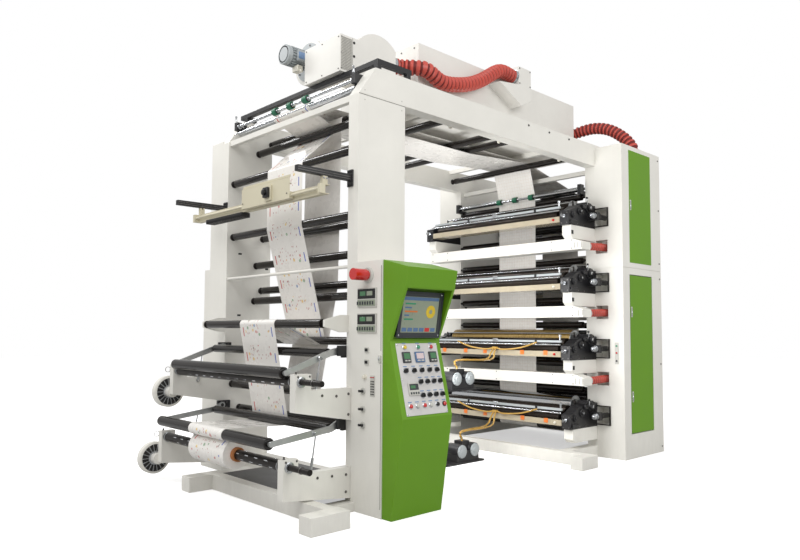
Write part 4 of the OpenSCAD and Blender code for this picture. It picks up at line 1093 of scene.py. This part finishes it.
def deck_side(z):
    """Fittings on the operator's side of one printing deck."""
    parts = [
        turned((PLATE_X, DECK_FACE, z), TO_OPERATOR, [(0, 54), (10, 54), (14, 50), (14, 34), (30, 32), (33, 26)],
               BLACK_PAINT, sides=28),
        turned((PLATE_X, -982, z), TO_OPERATOR, [(0, 15), (6, 15), (8, 11)], CHROME, sides=18),
        turned((INK_X, DECK_FACE, z - 50), TO_OPERATOR, [(0, 38), (12, 38), (16, 34), (16, 20), (26, 19)],
               BLACK_PAINT, sides=24),
        turned((PAN_X, DECK_FACE, z - 92), TO_OPERATOR, [(0, 34), (12, 34), (15, 30), (15, 16), (24, 15)],
               BLACK_PAINT, sides=24),
        turned((INK_X, -975, z - 50), TO_OPERATOR, [(0, 9), (5, 9), (6, 7)], CHROME, sides=14),
        block((3446, -972, z - 16), (3508, DECK_FACE, z + 24), BLACK_PAINT, 5),
        block((3240, -966, z - 190), (3350, DECK_FACE, z - 148), BLACK_PAINT, 3),
        block((3618, -965, z - 40), (3676, DECK_FACE, z + 34), BLACK_PAINT, 4),
        turned((3540, -1030, z - 88), TO_WINDER,
               [(0, 31), (9, 31), (9, 20), (22, 20), (26, 24), (46, 24), (50, 20)], ALUMINIUM, sides=28),
        turned((3490, -1030, z - 88), TO_WINDER, [(0, 11), (12, 11), (14, 8)], CHROME, sides=16),
        turned((3604, -1030, z - 88), TO_TOWER, [(0, 36), (12, 36), (14, 33)], STEEL, sides=28, bore=26.4),
        bent_rod([(3476, -968, z + 12), (3470, -996, z + 18), (3452, -1012, z + 46), (3444, -1014, z + 70)],
                 5, CHROME, 4),
        turned((3444, -1014, z + 68), (-0.15, 0, 1), [(0, 8), (4, 11), (14, 11), (20, 7)], BLACK_KNOB, sides=14),
        block((3674, -1102, z - 176), (3689.7, -1092, z + 1), DARK_STEEL, 1),
        block((3674, -1102, z - 2), (3689.7, -958, z + 8), DARK_STEEL, 1),
        block((3674, -1102, z - 182), (3689.7, -958, z - 172), DARK_STEEL, 1),
    ]
    parts += bolts([(PLATE_X + 44 * math.cos(a), -964, z + 44 * math.sin(a)) for a in (0.8, 2.35, 3.93, 5.5)],
                   TO_OPERATOR, 5, STEEL)
    spots = [(3238, -80), (3238, -178), (3370, -178), (3480, -178), (3480, -60), (3660, -178)]
    parts += bolts([(x, DECK_FACE, z + up) for x, up in spots], TO_OPERATOR, 7, STEEL)
    parts += bolts([(DECK_FRONT, y, z + up) for y in (-930, -870) for up in (-178, -80)], TO_WINDER, 6, STEEL)
    parts.append(turned((3219.6, -900, z - 110), TO_WINDER, STUD, CHROME, sides=18))
    return parts


def duct_side(z):
    """The duct's slotted bracket and its near end."""
    top = z - 326
    parts = [
        block((3262, -951.4, top + 40), (3300, -949.8, top + 78), BLACK_KNOB, 1),
        block((3305, -1042.6, top - 36 - 66), (3315, -1040, top - 44), SEAM, 0.5),
    ]
    parts += bolts([(3299, y, top - up) for y in (-930, -700, 0, 700, 930) for up in (16, 94)], TO_WINDER, 5, STEEL)
    for y in (-1038, -1000, -962):
        parts.append(block((3297.6, y, top - 96), (3299.8, y + 4, top - 40), SEAM, 0.2))
    return parts


front_near = []
for z in DECKS:
    front_near += deck_side(z)
    front_near.append(bent_rod([(3232, -840, z - 50), (3232, 840, z - 50)], 8, CHROME, 2))
    front_near.append(bent_rod([(3462, -840, z + 62), (3462, 840, z + 62)], 7, CHROME, 2))
    for y in (-849.6, 839):
        front_near.append(block((3452, y, z - 4), (3472, y + 10.6, z + 72), DARK_STEEL, 2))
    front_near.append(block((3238, -838, z - 28), (3262, 838, z - 6), GREY_PAINT, 2))
    front_near.append(block((3226, -70, z - 30), (3240, -10, z + 8), CHROME, 3))
    for y in (-560, 320):
        front_near.append(block((3234, y, z - 34), (3266, y + 26, z + 4), BLACK_KNOB, 2))
    front_near.append(turned((3250, -822, z - 4), UP, [(0, 9), (30, 9), (34, 15), (50, 15), (54, 10)],
                             CHROME, sides=14))
for z in DECKS[1:]:
    front_near += duct_side(z)
front_far = []
for z in DECKS:
    front_far += bolts([(DECK_FRONT, y, z + up) for y in (930, 870) for up in (-178, -80)], TO_WINDER, 6, STEEL)
    front_far.append(turned((3219.6, 900, z - 110), TO_WINDER, STUD, CHROME, sides=18))
gathered("Deck_bearing_housings", on_both_faces(front_near + front_far))

stubs = []
for z in DECKS[1:]:
    level = z - 326 - 55 - 14
    stub_route = smooth_route([(3450.5, -1001, level), (3475, -1001, level), (3600, -1019, level + 6),
                               (3710, -1023, level + 10), (3789, -1023, level + 10)])
    stubs.append(corrugated(stub_route, 37.5, 30, RED_HOSE))
    stubs.append(turned((3451, -1001, level), TO_TOWER, [(0, 44), (5, 44), (5, 41), (20, 41)], CHROME,
                        sides=24, bore=38.6))
gathered("Duct_corrugated_stubs", on_both_faces(stubs), smooth=24)
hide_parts("duct_hoses")

tray_parts = []
for index, z in enumerate(DECKS):
    floor_z = z - 92 - 55 - 20 + 4
    ink = (INK_BROWN, INK_YELLOW, None, None)[index]
    if ink:
        tray_parts.append(block((3221, -HALF_GAP, floor_z), (3303, HALF_GAP, floor_z + 14), ink, 0.5))
    for y in (-700, -420, 60, 330, 640):
        if index < 2:
            tray_parts.append(block((3211, y, z - 150), (3216, y + 46, z - 108), ORANGE_TAG, 1))
    tray_parts.append(turned((3215.6, -780, z - 140), TO_WINDER, [(0, 12), (6, 12), (6, 8), (18, 8)],
                             RED_LENS if index % 2 else CREAM_PART, sides=14))
gathered("Tray_ink_and_tags", on_both_faces(tray_parts))

for index, z in enumerate(DECKS):
    rims = [turned((PLATE_X, side * 783.2, z), (0, side, 0), [(0, 99), (2, 99), (8, 94), (8, 60), (3, 56)],
                   ALUMINIUM, sides=40, bore=22.2) for side in (-1, 1)]
    rims += [turned((PLATE_X, side * 791, z), (0, side, 0), [(0, 34), (40, 34), (42, 31)], STEEL, sides=28, bore=22.2)
             for side in (-1, 1)]
    gathered(f"Plate_roll_{index + 1}_ends", rims, body=f"plate_roll_{index + 1}")

# ---------------------------------------------------------------- cabinet


def handle(z, face):
    """A swing handle with its plate."""
    return [
        block((3836, face - 4, z - 52), (3858, face, z + 52), GREY_PLASTIC, 1.5),
        turned((3847, face - 4, z + 30), TO_OPERATOR, [(0, 8), (5, 8), (6, 6)], CHROME, sides=18),
        block((3840, face - 9, z - 42), (3854, face - 3.5, z + 14), CHROME, 2),
    ]


gathered("Upper_door_handle", handle(2487, -1253.2))
lower_handles = handle(1425, -1251.2) + handle(597, -1251.2)
gathered("Lower_door_handles", lower_handles, body="cabinet_door")
buttons = [turned((3690, -1175, z), TO_WINDER, [(0, 15), (4, 15), (6, 12)], GREY_PLASTIC) for z in (1092, 1024, 947)]
buttons += [turned((3684, -1175, z), TO_WINDER, [(0, 9), (8, 8)], finish, sides=16)
            for z, finish in ((1092, GREEN_LENS), (1024, RED_LENS), (947, BLACK_KNOB))]
buttons += [block((3686, -1196, 915), (3689.6, -1154, 1124), GREY_PLASTIC, 2)]
buttons += bolts([(4440, -1251, z) for z in (60, 900, 1780, 1940, 2500, 3030)], TO_OPERATOR, 7, STEEL)
gathered("Deck_push_buttons", buttons)

pump_parts = []
for x, z in ((2400, 112), (2580, 112), (2330, 784), (2510, 784)):
    pump_parts.append(turned((x, -312, z), TO_OPERATOR, [(0, 60), (8, 60), (12, 52), (12, 30), (18, 26)],
                             GREY_PAINT, sides=28))
    ring = [step * math.tau / 6 for step in range(6)]
    pump_parts += bolts([(x + 54 * math.cos(a), -320, z + 54 * math.sin(a)) for a in ring], TO_OPERATOR, 5, CHROME)
gathered("Pump_heads", pump_parts)

# ---------------------------------------------------------------- camera, floor and light

camera = bpy.data.objects.new("Camera", bpy.data.cameras.new("Camera"))
bpy.context.scene.collection.objects.link(camera)
camera.location = (-5.0451, -4.5179, 1.215)
camera.rotation_euler = tuple(math.radians(a) for a in (93.488, -0.3059, -43.3986))
camera.data.lens = 31.107
camera.data.sensor_width = 36.0
camera.data.shift_y = 0.0125
camera.data.clip_end = 200.0
bpy.context.scene.camera = camera
bpy.context.scene.view_settings.view_transform = "Standard"


def seen_white(tree, shown, lit):
    """The white look for the camera and through glass, and the lit look elsewhere."""
    path = tree.nodes.new("ShaderNodeLightPath")
    share = maths(tree, "MAXIMUM", path.outputs["Is Camera Ray"], path.outputs["Is Transmission Ray"])
    mix = tree.nodes.new("ShaderNodeMixShader")
    tree.links.new(share, mix.inputs[0])
    tree.links.new(lit, mix.inputs[1])
    tree.links.new(shown, mix.inputs[2])
    return mix.outputs[0]


def make_world():
    world = bpy.data.worlds.new("Studio")
    world.use_nodes = True
    tree = world.node_tree
    lit = tree.nodes["Background"]
    lit.inputs["Color"].default_value = (1.0, 0.99, 0.97, 1.0)
    lit.inputs["Strength"].default_value = 0.6
    shown = tree.nodes.new("ShaderNodeBackground")
    shown.inputs["Color"].default_value = (1.0, 1.0, 1.0, 1.0)
    shown.inputs["Strength"].default_value = 1.0
    out = tree.nodes["World Output"]
    tree.links.new(seen_white(tree, shown.outputs[0], lit.outputs[0]), out.inputs["Surface"])
    bpy.context.scene.world = world


def make_floor():
    bpy.ops.mesh.primitive_plane_add(size=60.0, location=(0.0, 0.0, -0.0005))
    floor = bpy.context.object
    floor.name = "Studio_floor"
    made = bpy.data.materials.new("Studio floor")
    made.use_nodes = True
    tree = made.node_tree
    shader = tree.nodes["Principled BSDF"]
    shader.inputs["Base Color"].default_value = (0.86, 0.86, 0.86, 1.0)
    shader.inputs["Roughness"].default_value = 0.9
    glow = tree.nodes.new("ShaderNodeEmission")
    glow.inputs["Strength"].default_value = 0.5
    add = tree.nodes.new("ShaderNodeAddShader")
    tree.links.new(shader.outputs[0], add.inputs[0])
    tree.links.new(glow.outputs[0], add.inputs[1])
    out = tree.nodes["Material Output"]
    dull = tree.nodes.new("ShaderNodeBsdfDiffuse")
    dull.inputs["Color"].default_value = (0.52, 0.52, 0.52, 1.0)
    tree.links.new(seen_white(tree, add.outputs[0], dull.outputs[0]), out.inputs["Surface"])
    floor.data.materials.append(made)


def soft_lamp(name, place, target, size, power):
    light = bpy.data.lights.new(name, "AREA")
    light.shape = "RECTANGLE"
    light.size, light.size_y = size
    light.energy = power
    lamp = bpy.data.objects.new(name, light)
    lamp.location = place
    lamp.rotation_euler = (Vector(target) - Vector(place)).to_track_quat("-Z", "Y").to_euler()
    lamp.visible_camera = False
    bpy.context.scene.collection.objects.link(lamp)


make_world()
make_floor()
soft_lamp("Key", (-6.5, -2.0, 5.5), (0.0, 0.0, 1.8), (4.0, 4.0), 165.0)
soft_lamp("Ceiling strip", (-3.5, 4.0, 5.9), (-2.0, 4.0, 1.8), (4.5, 0.4), 170.0)
soft_lamp("Ceiling strip between the towers", (-0.2, 3.6, 5.4), (1.6, 3.6, 1.2), (4.5, 0.3), 40.0)
soft_lamp("Front fill", (-0.5, -7.5, 5.0), (0.6, 0.0, 2.0), (5.0, 4.0), 215.0)
soft_lamp("Back fill", (6.0, 6.0, 6.0), (0.5, 0.0, 1.8), (5.0, 4.0), 120.0)
soft_lamp("Fill between the towers", (-0.9, -0.3, 1.5), (1.1, 0.1, 1.5), (0.8, 1.8), 40.0)
